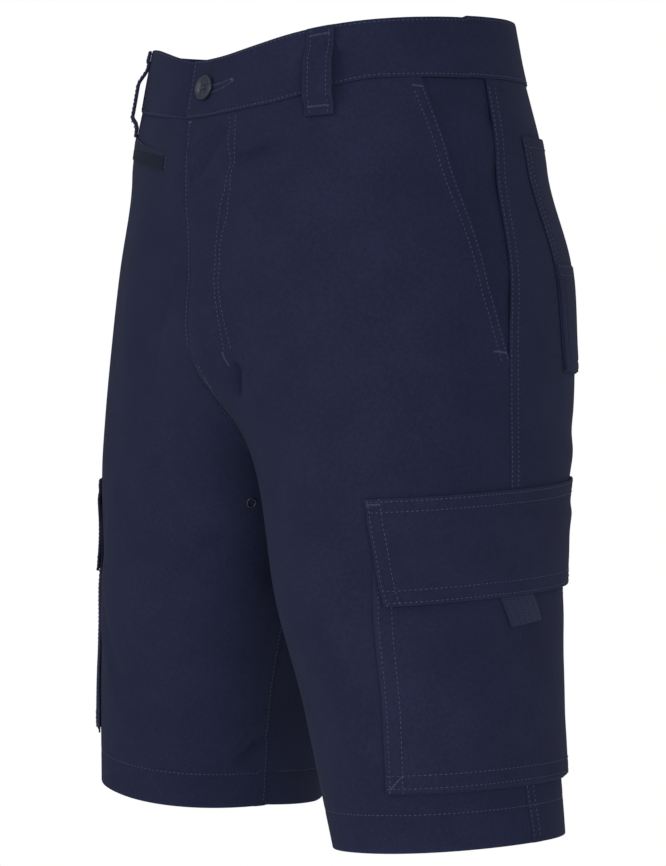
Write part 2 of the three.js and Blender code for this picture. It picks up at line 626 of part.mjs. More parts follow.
function waistButton() {
  const profile = [
    [0, 0],
    [BUTTON.radius - 1, 0],
    [BUTTON.radius, 1],
    [BUTTON.radius, BUTTON.thick - 0.7],
    [BUTTON.radius - 0.7, BUTTON.thick],
    [BUTTON.radius - BUTTON.rim, BUTTON.thick],
    [BUTTON.radius - BUTTON.rim - 0.8, BUTTON.thick - BUTTON.dish],
    [0, BUTTON.thick - BUTTON.dish],
  ];
  let body = solid(new THREE.LatheGeometry(profile.map(([x, y]) => new THREE.Vector2(x, y)), 28));
  for (let i = 0; i < 4; i += 1) {
    const hole = new THREE.CylinderGeometry(BUTTON.holeRadius, BUTTON.holeRadius, 3 * BUTTON.thick, 8);
    const turn = radians(45 + 90 * i);
    hole.translate(BUTTON.holeOff * Math.cos(turn), 0, BUTTON.holeOff * Math.sin(turn));
    body = body.subtract(solid(hole));
  }
  const { vertProperties, triVerts } = body.getMesh();
  const geometry = new THREE.BufferGeometry();
  geometry.setAttribute("position", new THREE.Float32BufferAttribute(vertProperties, 3));
  geometry.setIndex([...triVerts]);
  const mesh = finish("waist_button", MATERIALS.button, geometry);
  return seat(mesh, 1, BUTTON.angle, BUTTON.depth, BAND_OUT + SEAM_GAP);
}

function eyelet(side, panel) {
  const name = side > 0 ? "vent_eyelet_left" : "vent_eyelet_right";
  const middle = (EYELET.outerRadius + EYELET.innerRadius) / 2;
  const profile = [
    [EYELET.innerRadius, 0],
    [EYELET.outerRadius, 0],
    [EYELET.outerRadius - 0.2, EYELET.height * 0.6],
    [middle, EYELET.height],
    [EYELET.innerRadius, EYELET.height * 0.5],
    [EYELET.innerRadius, 0],
  ];
  const geometry = new THREE.LatheGeometry(profile.map(([x, y]) => new THREE.Vector2(x, y)), 16);
  return seatOnFlat(finish(name, MATERIALS.eyelet, geometry), panel, side, EYELET.angle, EYELET.depth);
}

const shorts = new THREE.Group();
shorts.add(waistband(), flyZip(), flyShield(), fobWelt(), waistButton());
for (const side of [1, -1]) {
  const front = frontPanel(side);
  shorts.add(front, backPanel(side), pocketFacing(side), backPocket(side), backPatch(side));
  shorts.add(cargoPocket(side), cargoFlap(side), cargoTab(side), eyelet(side, front));
}
for (const loop of LOOPS) shorts.add(beltLoop(loop.name, loop.angle));

export default shorts;
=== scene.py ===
# %% [markdown]
# Cargo work shorts in navy twill
#
# This lesson dresses a pair of shorts, piece by piece, in the order in which they are sewn. The solids that
# are loaded first say where every piece lies. Each piece of cloth is then made again as a thin sheet with
# its own seams, creases and stitches. Lengths are worked out in millimetres and turned into metres at the
# end.

# %% Load the solids
import json
import math

import bmesh
import bpy
import numpy as np
from mathutils import Matrix, Vector
from mathutils.bvhtree import BVHTree

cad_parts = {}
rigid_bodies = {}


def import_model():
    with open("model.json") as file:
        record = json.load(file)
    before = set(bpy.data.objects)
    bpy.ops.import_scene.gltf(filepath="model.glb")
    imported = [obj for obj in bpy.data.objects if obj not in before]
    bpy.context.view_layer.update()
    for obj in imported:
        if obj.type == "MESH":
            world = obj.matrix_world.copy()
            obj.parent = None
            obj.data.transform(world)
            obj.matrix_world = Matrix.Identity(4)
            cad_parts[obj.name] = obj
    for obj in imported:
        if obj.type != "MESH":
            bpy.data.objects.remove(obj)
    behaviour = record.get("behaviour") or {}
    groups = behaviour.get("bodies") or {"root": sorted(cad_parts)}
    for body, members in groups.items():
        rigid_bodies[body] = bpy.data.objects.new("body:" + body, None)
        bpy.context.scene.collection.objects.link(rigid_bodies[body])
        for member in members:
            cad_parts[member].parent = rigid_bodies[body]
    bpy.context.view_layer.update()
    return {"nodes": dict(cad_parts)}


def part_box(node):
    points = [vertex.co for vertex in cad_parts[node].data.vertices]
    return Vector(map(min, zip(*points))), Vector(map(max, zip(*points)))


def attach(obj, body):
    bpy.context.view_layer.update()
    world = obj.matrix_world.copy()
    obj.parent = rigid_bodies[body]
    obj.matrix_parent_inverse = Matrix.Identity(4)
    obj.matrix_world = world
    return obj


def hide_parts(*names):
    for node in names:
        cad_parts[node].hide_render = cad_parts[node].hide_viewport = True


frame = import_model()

MM = 0.001
SIDES = ((1, "left"), (-1, "right"))
print("solids:", len(frame["nodes"]))

# %% [markdown]
# The body
#
# Each half of the shorts is an oval about one leg, and the two are cut off where they meet. A short table
# gives the oval at ten depths below the waist, and a curve that never overshoots joins its rows. A place on
# the cloth is an angle round the oval, 0 at the side and -90 in front, and a depth.

# %% The table of ovals
OVAL = 2 / 2.2
HELD_LEVEL = 21
CROTCH = 320
LENGTH = 570
# depth, centre x, centre y, half width, front, back
SECTIONS = np.array([
    (0, 0, 1, 148, 113, 114),
    (40, 0, -1, 155, 117, 126),
    (100, 0, -2, 165, 124, 145),
    (170, 27, -4, 152, 120, 159),
    (230, 58, -10, 128, 110, 155),
    (280, 84, -14, 108, 101, 143),
    (CROTCH, 98, -16, 98, 96, 132),
    (400, 109, -18, 87, 92, 115),
    (480, 127, -14, 77, 87, 96),
    (LENGTH, 143, -4, 70, 89, 80),
], dtype=float)


def curve(depths, values):
    """A smooth function of depth through a few values, with no overshoot between them."""
    gap = np.diff(depths)
    rise = np.diff(values) / gap
    slope = np.empty(len(depths))
    slope[0], slope[-1] = rise[0], rise[-1]
    for i in range(1, len(depths) - 1):
        if rise[i - 1] * rise[i] <= 0:
            slope[i] = 0
            continue
        before = 2 * gap[i] + gap[i - 1]
        after = gap[i] + 2 * gap[i - 1]
        slope[i] = (before + after) / (before / rise[i - 1] + after / rise[i])

    def at(depth):
        d = np.clip(depth, depths[0], depths[-1])
        i = np.clip(np.searchsorted(depths, d, side="right") - 1, 0, len(gap) - 1)
        t = (d - depths[i]) / gap[i]
        rest = 1 - t
        ends = values[i] * (1 + 2 * t) * rest**2 + values[i + 1] * (3 - 2 * t) * t**2
        return ends + gap[i] * (slope[i] * t * rest**2 - slope[i + 1] * rest * t**2)

    return at


centre_x, centre_y, half_width, front_reach, back_reach = (
    curve(SECTIONS[:, 0], SECTIONS[:, k]) for k in range(1, 6)
)
print("sections:", len(SECTIONS))

# %% [markdown]
# Folds
#
# Worn cloth has a few long soft folds where it hangs or pulls, and many faint ones. The long ones are
# listed, each from one place to another with its own width and height. The first thirteen are also
# in the solids.

# %% The table of folds
# side, from angle, from depth, to angle, to depth, width, height
FOLDS = [
    (-1, -84, 130, -112, 252, 11, -3.2),
    (-1, -70, 120, -80, 260, 16, 2.4),
    (1, -84, 100, -50, 76, 9, -2.2),
    (1, -80, 128, -58, 108, 12, 1.6),
    (1, -66, 345, -58, 400, 13, -3.0),
    (1, -92, 470, -70, 420, 14, 1.8),
    (-1, -150, 365, -120, 392, 9, -2.2),
    (-1, -168, 395, -130, 418, 10, 1.8),
    (-1, -66, 345, -60, 400, 13, -2.4),
    (1, 168, 334, 96, 300, 13, -3.2),
    (1, 172, 372, 100, 352, 12, -2.4),
    (-1, 165, 338, 92, 306, 13, -3.0),
    (-1, 172, 380, 108, 356, 12, -2.6),
    (-1, -92, 159, -96, 252, 5, -1.3),
    (1, -78.5, 60, -90, 110, 4, -4.6),
    (1, -83.5, 62, -92, 88, 4, 2.8),
    (1, -79, 106, -90, 122, 3.5, -2.2),
    (1, -82, 114, -92, 130, 4, 1.2),
    (1, -83, 134, -93, 147, 3.5, -1.4),
    (1, -85, 152, -94, 160, 3, -1.1),
    (1, -76.5, 96, -60, 86, 4, -4.0),
    (1, -75, 106, -62, 98, 6, 1.3),
    (1, -74, 134, -66, 142, 5, -2.2),
    (1, -96, 238, -107, 262, 4, -8.0),
    (1, -91, 214, -96, 268, 3.5, 2.0),
    (-1, -50, 335, -54, 470, 13, -1.8),
    (-1, -62, 410, -93, 486, 6, -1.0),
    (-1, -58, 430, -90, 500, 8, 0.9),
    (-1, -163, 538, -179, 515, 3.5, -4.0),
    (-1, -156, 534, -178, 498, 4, 3.0),
    (-1, -149, 434, -171, 396, 9, 2.2),
    (-1, -156, 416, -173, 384, 6, -2.2),
    (1, -112, 262, -92, 300, 8, -1.4),
    (1, -128, 296, -96, 338, 9, -1.3),
    (1, -74, 255, -40, 268, 12, 0.9),
    (1, -60, 190, -24, 222, 12, -0.8),
    (1, -96, 360, -84, 440, 12, 1.1),
    (1, -120, 430, -96, 500, 11, -1.0),
    (1, -76, 500, -66, 548, 8, -0.9),
    (-1, -118, 300, -88, 352, 9, -1.3),
    (-1, -140, 455, -110, 470, 8, -1.0),
    (-1, -100, 505, -84, 540, 8, 1.0),
    (1, 20, 268, 60, 292, 10, -1.1),
    (1, 40, 300, 84, 312, 11, 1.0),
    (1, 96, 210, 70, 262, 10, -1.1),
    (-1, 22, 272, 62, 290, 10, -1.2),
    (-1, 94, 205, 72, 258, 10, -1.0),
    (1, 110, 420, 96, 500, 12, 1.2),
    (-1, 112, 428, 92, 506, 12, 1.1),
    (1, 84, 52, 60, 76, 8, -0.8),
    (-1, 80, 54, 52, 74, 8, -0.8),
]
FOLD_SCALE = 2  # millimetres round the leg for one degree


def smooth(x, low, high):
    t = np.clip((x - low) / (high - low), 0, 1)
    return t * t * (3 - 2 * t)


def bell(x, middle, width):
    return np.exp(-(((x - middle) / width) ** 2))


def fold_height(side, angle, depth):
    """How far the folds push the cloth out."""
    height = np.zeros(np.shape(angle))
    for one, a0, d0, a1, d1, width, high in FOLDS:
        run = np.array([(a1 - a0) * FOLD_SCALE, d1 - d0], dtype=float)
        length = np.hypot(*run)
        run /= length
        x, y = (angle - a0) * FOLD_SCALE, depth - d0
        t = (x * run[0] + y * run[1]) / length
        across = (x * run[1] - y * run[0]) / width
        ends = smooth(t, -0.15, 0.3) * (1 - smooth(t, 0.7, 1.15))
        height += np.where(side == one, high, 0) * ends * np.exp(-across**2)
    return height


print("folds:", len(FOLDS))

# %% The cloth's own surface
WAIST_TILT, WAIST_TILT_SPAN, WAIST_FADE = 5.4, 115, 150
FRONT_DIP, FRONT_DIP_WIDTH, RIGHT_DIP_WIDTH, RIGHT_SINK = 20, 89, 65, 2.6
FLY_FORWARD, FLY_DEPTH, FLY_ABOVE, FLY_BELOW, FLY_WIDTH = 15, 238, 50, 33, 34
HEM_RISE_OUT, HEM_DROP_BACK, RIGHT_HEM_BACK, RIGHT_HEM_DROP = 7.6, 2.2, 16, 6


def oval(side, angle, depth):
    """Points of the outer face, one for each angle and depth."""
    side, angle, depth = np.broadcast_arrays(*(np.asarray(a, dtype=float) for a in (side, angle, depth)))
    c, s = np.cos(np.radians(angle)), np.sin(np.radians(angle))
    swing = np.where(side < 0, RIGHT_HEM_BACK * np.clip((depth - 380) / 190, 0, 1), 0)
    reach = np.where(s < 0, front_reach(depth), back_reach(depth) + swing)
    fold = fold_height(side, angle, depth)
    out = np.sign(c) * np.abs(c) ** OVAL
    x = centre_x(depth) + half_width(depth) * out + fold * c
    down = (depth - FLY_DEPTH) / np.where(depth < FLY_DEPTH, FLY_ABOVE, FLY_BELOW)
    forward = np.where(s < 0, FLY_FORWARD * np.exp(-(down**2) - (x / FLY_WIDTH) ** 2), 0)
    y = centre_y(depth) + reach * np.sign(s) * np.abs(s) ** OVAL + fold * s - forward
    fade = np.clip(1 - depth / WAIST_FADE, 0, 1) ** 1.5
    dip_width = np.where(side * x < 0, RIGHT_DIP_WIDTH, FRONT_DIP_WIDTH)
    dip = np.where(s < 0, FRONT_DIP * np.exp(-((x / dip_width) ** 2)), 0)
    hem = np.clip((depth - CROTCH) / (LENGTH - CROTCH), 0, 1)
    tilt = WAIST_TILT * (y - centre_y(0.0)) / WAIST_TILT_SPAN - dip
    tilt = tilt - np.where(side * x < 0, RIGHT_SINK * smooth(np.abs(x), 60, 135), 0)
    sweep = HEM_RISE_OUT * out - HEM_DROP_BACK * y / 90
    sweep = sweep - np.where(side < 0, RIGHT_HEM_DROP * np.clip(y / 60, 0, 1), 0)
    return np.stack([side * x, y, HELD_LEVEL - depth + fade * tilt + hem * sweep], axis=-1)


def outward(side, angle, depth):
    """The direction that the cloth looks in, level across the middle of the garment."""
    side = np.asarray(side, dtype=float)
    across = oval(side, angle + 1.5, depth) - oval(side, angle - 1.5, depth)
    down = oval(side, angle, depth + 3) - oval(side, angle, np.maximum(depth - 3, 0))
    n = np.cross(down, across) * (side[..., None] if side.ndim else side)
    near = np.clip(np.abs(oval(side, angle, depth)[..., 0]) / 3, 0, 1)
    above = smooth(CROTCH - np.asarray(depth, dtype=float), 8, 34)
    n[..., 0] *= 1 + (near - 1) * above
    return n / np.linalg.norm(n, axis=-1, keepdims=True)


def middle_angle(depth):
    """Where a half meets the middle of the garment, or the inseam."""
    share = np.clip(centre_x(depth) / half_width(depth), 0, 1)
    return np.degrees(np.arccos(-(share ** (1 / OVAL))))


def near_middle(sign, depth, from_middle):
    middle = middle_angle(depth)
    one = np.linalg.norm(oval(1.0, sign * middle, depth) - oval(1.0, sign * (middle - 1), depth), axis=-1)
    return sign * (middle - from_middle / one)


print("hem level at the side, mm:", np.round(oval(1, 0, LENGTH)[2], 1))

# %% [markdown]
# A sheet of cloth
#
# Every sheet starts as a flat grid from a bmesh operator. Its vertices are then moved onto the body, and
# pushed in or out where a seam, a hem or a pucker raises the cloth. The lengths along its rows and columns
# become its UV map, in metres, so that the weave has its true size. Solidify gives it its thickness and
# Bevel rounds the cut edges.

# %% Make a sheet
surfaces = {}


def stations(width, step=3.0, fine=1.0, first=12.0, last=12.0):
    """Places from 0 to 1 across a width, closer together near its two ends."""
    start = np.arange(0, first, fine)
    end = width - np.arange(0, last, fine)[::-1]
    count = max(2, round((width - first - last) / step) + 1)
    return np.unique(np.concatenate([start, np.linspace(first, width - last, count), end])) / width


def run_lengths(points, axis):
    """Distances along the rows or columns of a grid of points."""
    gaps = np.linalg.norm(np.diff(points, axis=axis), axis=-1)
    pad = [(0, 0), (0, 0)]
    pad[axis] = (1, 0)
    return np.pad(np.cumsum(gaps, axis=axis), pad)


def wave(along, *lengths):
    """Uneven ripples made of a few lengths."""
    return sum(np.sin(2 * math.pi * along / one + 1.7 * i) for i, one in enumerate(lengths)) / len(lengths)


def cloth(name, us, vs, place, relief=None, thick=1.0, bevel=0.3):
    """A named sheet: place(u, v) gives side, angle, depth and how far out, and relief adds to that."""
    uu, vv = np.meshgrid(us, vs)
    side, angle, depth, out = np.broadcast_arrays(*(np.asarray(a, dtype=float) for a in place(uu, vv)))
    n = outward(side, angle, depth)
    points = oval(side, angle, depth) + n * out[..., None]
    along, down = run_lengths(points, 1), run_lengths(points, 0)
    edge = np.zeros(out.shape)
    if relief:
        push, edge = relief(along, along[:, -1:] - along, down, down[-1:] - down, angle, depth)
        points = points + n * np.asarray(push)[..., None]
    bm = bmesh.new()
    uv = bm.loops.layers.uv.new("cloth")
    worn = bm.verts.layers.float.new("edge")
    bmesh.ops.create_grid(bm, x_segments=len(us) - 1, y_segments=len(vs) - 1, size=0.5)
    assert len(bm.verts) == len(us) * len(vs), name
    edge = np.broadcast_to(edge, out.shape)
    spots = {}
    for v in bm.verts:
        i, j = round((v.co.x + 0.5) * (len(us) - 1)), round((v.co.y + 0.5) * (len(vs) - 1))
        spots[v] = (i, j)
        v.co = points[j, i] * MM
        v[worn] = float(edge[j, i])
    for face in bm.faces:
        for loop in face.loops:
            i, j = spots[loop.vert]
            loop[uv].uv = (along[j, i] * MM, -down[j, i] * MM)
    bm.normal_update()
    facing = sum(v.normal.dot(Vector(n[spots[v][1], spots[v][0]])) for v in bm.verts)
    if facing < 0:
        bmesh.ops.reverse_faces(bm, faces=bm.faces[:])
    surfaces[name] = BVHTree.FromBMesh(bm)
    sum(f.calc_area() for f in bm.faces)
    return finished(name, bm, thick, bevel)


def finished(name, bm, thick=0.0, bevel=0.0):
    """Turns a bmesh into an object, smooth, with its thickness and its rounded edges."""
    mesh = bpy.data.meshes.new(name)
    bm.to_mesh(mesh)
    bm.free()
    mesh.polygons.foreach_set("use_smooth", [True] * len(mesh.polygons))
    piece = bpy.data.objects.new(name, mesh)
    bpy.context.scene.collection.objects.link(piece)
    if thick:
        wall = piece.modifiers.new("thickness", "SOLIDIFY")
        wall.thickness = thick * MM
        wall.offset = -1
    if bevel:
        rim = piece.modifiers.new("rim", "BEVEL")
        rim.width = bevel * MM
        rim.segments = 2
        rim.limit_method = "ANGLE"
        rim.angle_limit = math.radians(60)
    return piece


def sewn(piece, material, node):
    piece.data.materials.append(material)
    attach(piece, "root")
    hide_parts(node)
    return piece


# %% [markdown]
# Twill
#
# Cotton twill is woven so that fine diagonal ribs cross it. They are smaller than a pixel here, so they
# mainly break up the light. Yarns that differ a little in thickness give faint streaks, washing gives soft
# clouds of tone, and cloth that is rubbed at a seam is a little paler. Principled BSDF has a sheen for the
# fibres that stand up.

# %% A small helper for nodes
def nodes_of(name, colour, roughness, **more):
    material = bpy.data.materials.new(name)
    material.use_nodes = True
    tree = material.node_tree
    shader = tree.nodes["Principled BSDF"]
    shader.inputs["Base Color"].default_value = (*colour, 1)
    shader.inputs["Roughness"].default_value = roughness
    for socket, value in more.items():
        shader.inputs[socket.replace("_", " ").title()].default_value = value

    def node(kind, **settings):
        made = tree.nodes.new("ShaderNode" + kind)
        for key, value in settings.items():
            if key[0] == "_":
                target = made.inputs[int(key[1:])]
                if isinstance(value, bpy.types.NodeSocket):
                    tree.links.new(value, target)
                else:
                    target.default_value = value
            else:
                setattr(made, key, value)
        return made

    return material, shader, node


def drive(material, socket, value):
    """Lets a node's value set one of the shader's sockets."""
    tree = material.node_tree
    tree.links.new(value.outputs[0], tree.nodes["Principled BSDF"].inputs[socket])


def tint(material, colour, node, value):
    """The base colour, lighter or darker with a node's value."""
    tinted = node("VectorMath", operation="SCALE")
    tinted.inputs[0].default_value = colour
    material.node_tree.links.new(value.outputs[0], tinted.inputs["Scale"])
    drive(material, "Base Color", tinted)


def emboss(material, node, height, strength, depth):
    """A relief too fine for the mesh, depth in mm."""
    bump = node("Bump")
    bump.inputs["Strength"].default_value = strength
    bump.inputs["Distance"].default_value = depth * MM
    material.node_tree.links.new(height.outputs[0], bump.inputs["Height"])
    drive(material, "Normal", bump)


def twill(name, colour, rib=0.9, slope=1.0, depth=0.12, mottle=0.2):
    """A diagonal weave in navy, ribs rib mm apart."""
    material, shader, node = nodes_of(name, colour, 0.86, sheen_weight=0.04, sheen_roughness=0.5)
    shader.inputs["Sheen Tint"].default_value = (0.5, 0.55, 0.9, 1)
    shader.inputs["Specular IOR Level"].default_value = 0.1
    cloth_uv = node("UVMap", uv_map="cloth").outputs[0]
    split = node("SeparateXYZ", _0=cloth_uv)
    lean = node("Math", operation="MULTIPLY", _0=split.outputs[1], _1=slope)
    run = node("Math", operation="ADD", _0=split.outputs[0], _1=lean.outputs[0])
    turns = node("Math", operation="MULTIPLY", _0=run.outputs[0], _1=2 * math.pi / (rib * MM))
    ribs = node("Math", operation="SINE", _0=turns.outputs[0])
    warp = node("Mapping", _0=cloth_uv)
    warp.inputs["Scale"].default_value = (1500, 60, 1)
    weft = node("Mapping", _0=cloth_uv)
    weft.inputs["Scale"].default_value = (60, 1500, 1)
    yarn = node("TexNoise", _0=warp.outputs[0], noise_dimensions="2D")
    cross = node("TexNoise", _0=weft.outputs[0], noise_dimensions="2D")
    place = node("TexCoord").outputs["Object"]
    cloud = node("TexNoise", _0=place, _2=26.0, _3=3.0)
    grain = node("TexNoise", _0=place, _2=420.0, _3=2.0)
    both = node("Math", operation="ADD", _0=yarn.outputs[0], _1=cross.outputs[0])
    tone = node("Math", operation="MULTIPLY_ADD", _0=cloud.outputs[0], _1=1.2, _2=both.outputs[0])
    fleck = node("Math", operation="MULTIPLY_ADD", _0=grain.outputs[0], _1=1.4, _2=tone.outputs[0])
    spread = node("MapRange", _0=fleck.outputs[0], _1=1.8, _2=2.8, _3=1 - mottle, _4=1 + mottle)
    rubbed = node("Attribute", attribute_name="edge").outputs["Fac"]
    paler = node("Math", operation="MULTIPLY_ADD", _0=rubbed, _1=0.12, _2=spread.outputs[0])
    tint(material, colour, node, paler)
    weave = node("Math", operation="MULTIPLY_ADD", _0=ribs.outputs[0], _1=0.35, _2=both.outputs[0])
    height = node("Math", operation="ADD", _0=weave.outputs[0], _1=grain.outputs[0])
    emboss(material, node, height, 0.5, depth)
    return material


NAVY = (0.0135, 0.0165, 0.0415)
body_twill = twill("navy_twill", NAVY)
pocket_twill = twill("pocket_twill", (0.0142, 0.0168, 0.0418), slope=-1.0)
# The welt's twill is darker than the body's: its colour is painted shade for the welt's inset strip.
welt_painted_shade_twill = twill("welt_painted_shade_twill", (0.0085, 0.0105, 0.022), rib=0.7)
print("twill:", body_twill.name, pocket_twill.name, welt_painted_shade_twill.name)

# %% [markdown]
# Seams
#
# Where two panels meet, one is folded over the other and sewn twice. The edge stands up by about a
# millimetre, each row of stitches pulls it down again, and the cloth puckers beside them.

# %% The relief beside a seam
ROW_ONE, ROW_TWO = 1.8, 8.0


def felled(d, along, rise=0.5):
    """The raised side of a double-sewn seam whose edge is at distance 0."""
    up = rise * (1 - smooth(d, ROW_TWO + 0.8, ROW_TWO + 3))
    sunk = 0.25 * bell(d, ROW_ONE, 0.8) + 0.25 * bell(d, ROW_TWO, 0.9)
    pucker = 0.2 * wave(along, 7.3, 11.9, 19) * (1 - smooth(d, 3, 16))
    return up - sunk + pucker - 0.3 * bell(d, 0, 0.6)


def under(d, along):
    """The side of a seam that runs under its neighbour."""
    return -0.35 * np.exp(-d / 2.5) + 0.2 * wave(along, 7.3, 11.9, 19) * np.exp(-d / 8)


def rubbed(*distances):
    """How worn the cloth is beside an edge."""
    return sum(bell(d, 0, 1.6) for d in distances)


# %% [markdown]
# Front and back panels
#
# A panel runs from the side seam, or from the slant pocket's edge, to the middle and the inseam. At the hem
# its rows carry on round the fold and back up inside the leg, so that the hem is really turned up.

# %% Where a panel's columns and rows lie
HEM, TURN = 25, 1.1
SIDE_SEAM = 5.5
FLY_LAP, FLY_BOTTOM, LAP_TOP = 6, 256, 4
EDGE_STRIP, STRIP_SHARE = 24, 0.13
HAND_POCKET = np.array([(40, -17.8), (98, -10), (140, -4.7), (190, -0.2), (238, SIDE_SEAM)], dtype=float)
pocket_edge = curve(HAND_POCKET[:, 0], HAND_POCKET[:, 1])
BAND_SIDE, BAND_FRONT = 43, 10.5
panel_span = LENGTH - BAND_SIDE


def band_depth(angle):
    return BAND_SIDE + BAND_FRONT * (1 - smooth(angle, -68, -30))


def lap_width(depth):
    """How far the left front laps over the middle at the fly, a little more at its top."""
    lap = FLY_LAP * (1 - smooth(depth, FLY_BOTTOM - 50, FLY_BOTTOM))
    return lap + LAP_TOP * (1 - smooth(depth, 54, 88))


def strip_angle(sign, depth):
    slow = np.maximum(depth - 290, 0) / 30
    spread = 180 - (180 - middle_angle(np.minimum(depth, 290))) * np.exp(-slow)
    return near_middle(sign, depth, EDGE_STRIP) + sign * (spread - middle_angle(depth))


def panel_rows(v):
    """Depth and how far in, from the band down, round the fold of the hem and up inside."""
    s = v * (panel_span + math.pi * TURN + HEM)
    turn = np.clip((s - panel_span) / (math.pi * TURN), 0, 1) * math.pi
    up = np.clip(s - panel_span - math.pi * TURN, 0, HEM)
    return BAND_SIDE + np.minimum(s, panel_span) + TURN * np.sin(turn) - up, -TURN * (1 - np.cos(turn))


rows = panel_span + math.pi * TURN + HEM
ends = np.concatenate([
    np.arange(0, 9, 1.0),
    np.linspace(9, panel_span - HEM - 5, 170),
    np.arange(panel_span - HEM - 4, panel_span - HEM + 5, 1.0),
    np.linspace(panel_span - HEM + 6, panel_span - 1, 8),
    panel_span + math.pi * TURN * np.linspace(0, 1, 6),
    np.linspace(panel_span + math.pi * TURN + 3, rows, 7),
])
PANEL_ROWS = np.unique(ends) / rows


def panel_place(side, sign, edge, laps=False, recess=0.0):
    def place(u, v):
        depth, inwards = panel_rows(v)
        share = np.clip(u / (1 - STRIP_SHARE), 0, 1) ** 0.88
        strip = np.clip((u - 1 + STRIP_SHARE) / STRIP_SHARE, 0, 1)
        start = edge(depth)

        def across(start, depth):
            last = strip_angle(sign, depth)
            return start + (sign * 90 - start) * share + (last - sign * 90) * share**2

        flat = across(edge(np.full_like(depth, BAND_SIDE)), np.full_like(depth, BAND_SIDE))
        extra = band_depth(flat) - BAND_SIDE
        depth = depth + extra * np.clip(1 - (depth - BAND_SIDE) / 19, 0, 1)
        angle = across(edge(depth), depth)
        over = lap_width(depth) if laps else 0
        left = EDGE_STRIP * (1 - strip) - over * strip
        last = near_middle(sign, depth, np.abs(left))
        start = across(edge(depth), depth) - near_middle(sign, depth, EDGE_STRIP)
        angle = np.where(strip > 0, last + start * (1 - strip), angle)
        which = np.where((strip > 0) & (left < 0), -side, side)
        dip = recess * (1 - smooth(left, FLY_LAP + 2, FLY_LAP + 18)) * (strip > 0)
        dip = dip * (1 - smooth(depth, FLY_BOTTOM - 4, FLY_BOTTOM + 14))
        return which, angle, depth, inwards - dip

    return place


# %% Front panels
def front_edge(depth):
    return np.minimum(pocket_edge(depth), SIDE_SEAM)


def band_and_hem(left, down, up, depth):
    """The cloth dips under the band, and the hem's row of stitches pulls it in and puckers it."""
    row = -0.4 * bell(depth, LENGTH - HEM, 1.1) * smooth(up, HEM, HEM + 8)
    pucker = 0.16 * wave(left, 9, 14, 23) * np.exp(-np.abs(depth - LENGTH + HEM) / 9)
    return under(down, left) * 0.6 + row + pucker


def front_relief(side):
    def relief(left, right, down, up, angle, depth):
        slit = 1 - smooth(depth, 234, 242)
        mouth = 0.55 * (1 - smooth(left, 9, 11)) - 0.35 * bell(left, 1.8, 0.8)
        mouth -= 0.35 * bell(left, 8, 0.9)
        push = slit * mouth + (1 - slit) * under(left, depth)
        legs = smooth(depth, FLY_BOTTOM, FLY_BOTTOM + 8)
        push = push + felled(right, depth, 0.9) * legs
        push = push + band_and_hem(left, down, up, depth)
        fly = (1 - smooth(right, 30, 48)) * (1 - legs) * smooth(depth, 52, 70)
        if side > 0:
            push = push + fly * (0.34 * wave(depth + 0.12 * right, 13, 21, 34) + 0.25)
            push = push - 0.4 * bell(right, 0, 0.7) * (1 - legs)
        return push, rubbed(left, right * (1 if side > 0 else 3), np.abs(depth - LENGTH)) * 0.8

    return relief


COLUMNS = stations(270)
for side, name in SIDES:
    place = panel_place(side, -1, front_edge, side > 0, 0 if side > 0 else 1.8)
    piece = cloth(f"front_panel_{name}", COLUMNS, PANEL_ROWS, place, front_relief(side))
    sewn(piece, body_twill, f"front_{name}")


# %% Back panels
def back_relief(side):
    def relief(left, right, down, up, angle, depth):
        push = felled(left, depth)
        upper = 1 - smooth(depth, CROTCH - 20, CROTCH) if side > 0 else 0
        push = push + felled(right, depth, 0.5) * upper + under(right, depth) * 2 * (1 - upper)
        push = push + band_and_hem(left, down, up, depth)
        return push, rubbed(left, right, np.abs(depth - LENGTH)) * 0.8

    return relief


for side, name in SIDES:
    place = panel_place(side, 1, lambda depth: SIDE_SEAM + 0 * depth)
    piece = cloth(f"back_panel_{name}", stations(300), PANEL_ROWS, place, back_relief(side))
    sewn(piece, body_twill, f"back_{name}")

# %% [markdown]
# Waistband
#
# One curved band of doubled cloth goes all the way round, deeper in front. Its right end dips in under the
# left end.

# %% The band
OVERLAP, UNDERLAP, EASE = 3.5, 13, 9
BAND_OUT, BAND_WALL = 0.9, 2.6
BAND_START, BAND_END = -90 + UNDERLAP, -450 - OVERLAP


def band_place(u, v):
    angle = BAND_START + (BAND_END - BAND_START) * u
    near = np.where(angle < -270, angle + 360, angle)
    half = np.where(near < -90, -180 - near, near)
    tuck = 1 - smooth(-90 - OVERLAP - angle, 1, 1 + EASE)
    return 1, angle, band_depth(half) * v, BAND_OUT - (BAND_WALL + 0.5) * tuck


def band_relief(left, right, down, up, angle, depth):
    rows = bell(down, 2.2, 0.8) + bell(up, 2.2, 0.8)
    push = -0.35 * rows + 0.14 * wave(left, 8, 13, 21) * np.exp(-up / 9)
    push = push + 0.12 * wave(left, 31, 53) - 0.3 * (bell(up, 0, 0.7) + bell(down, 0, 0.7))
    return push, rubbed(down, up, right) * 0.9


band = cloth("waist_band", stations(880, 3, 1, 4, 6), stations(46, 2.6, 0.9, 5, 5), band_place, band_relief,
             2.4, 0.6)
sewn(band, body_twill, "waistband")


# %% [markdown]
# Pockets
#
# The slant pocket's facing lies a little deeper than the front and shows in its mouth. The back pockets are
# patches with a folded hem and a second layer on the lower half. Each cargo pocket is a shallow tray of
# cloth, and its flap climbs onto it and stands off at its lower edge, which is what makes the dark line
# under the flap.

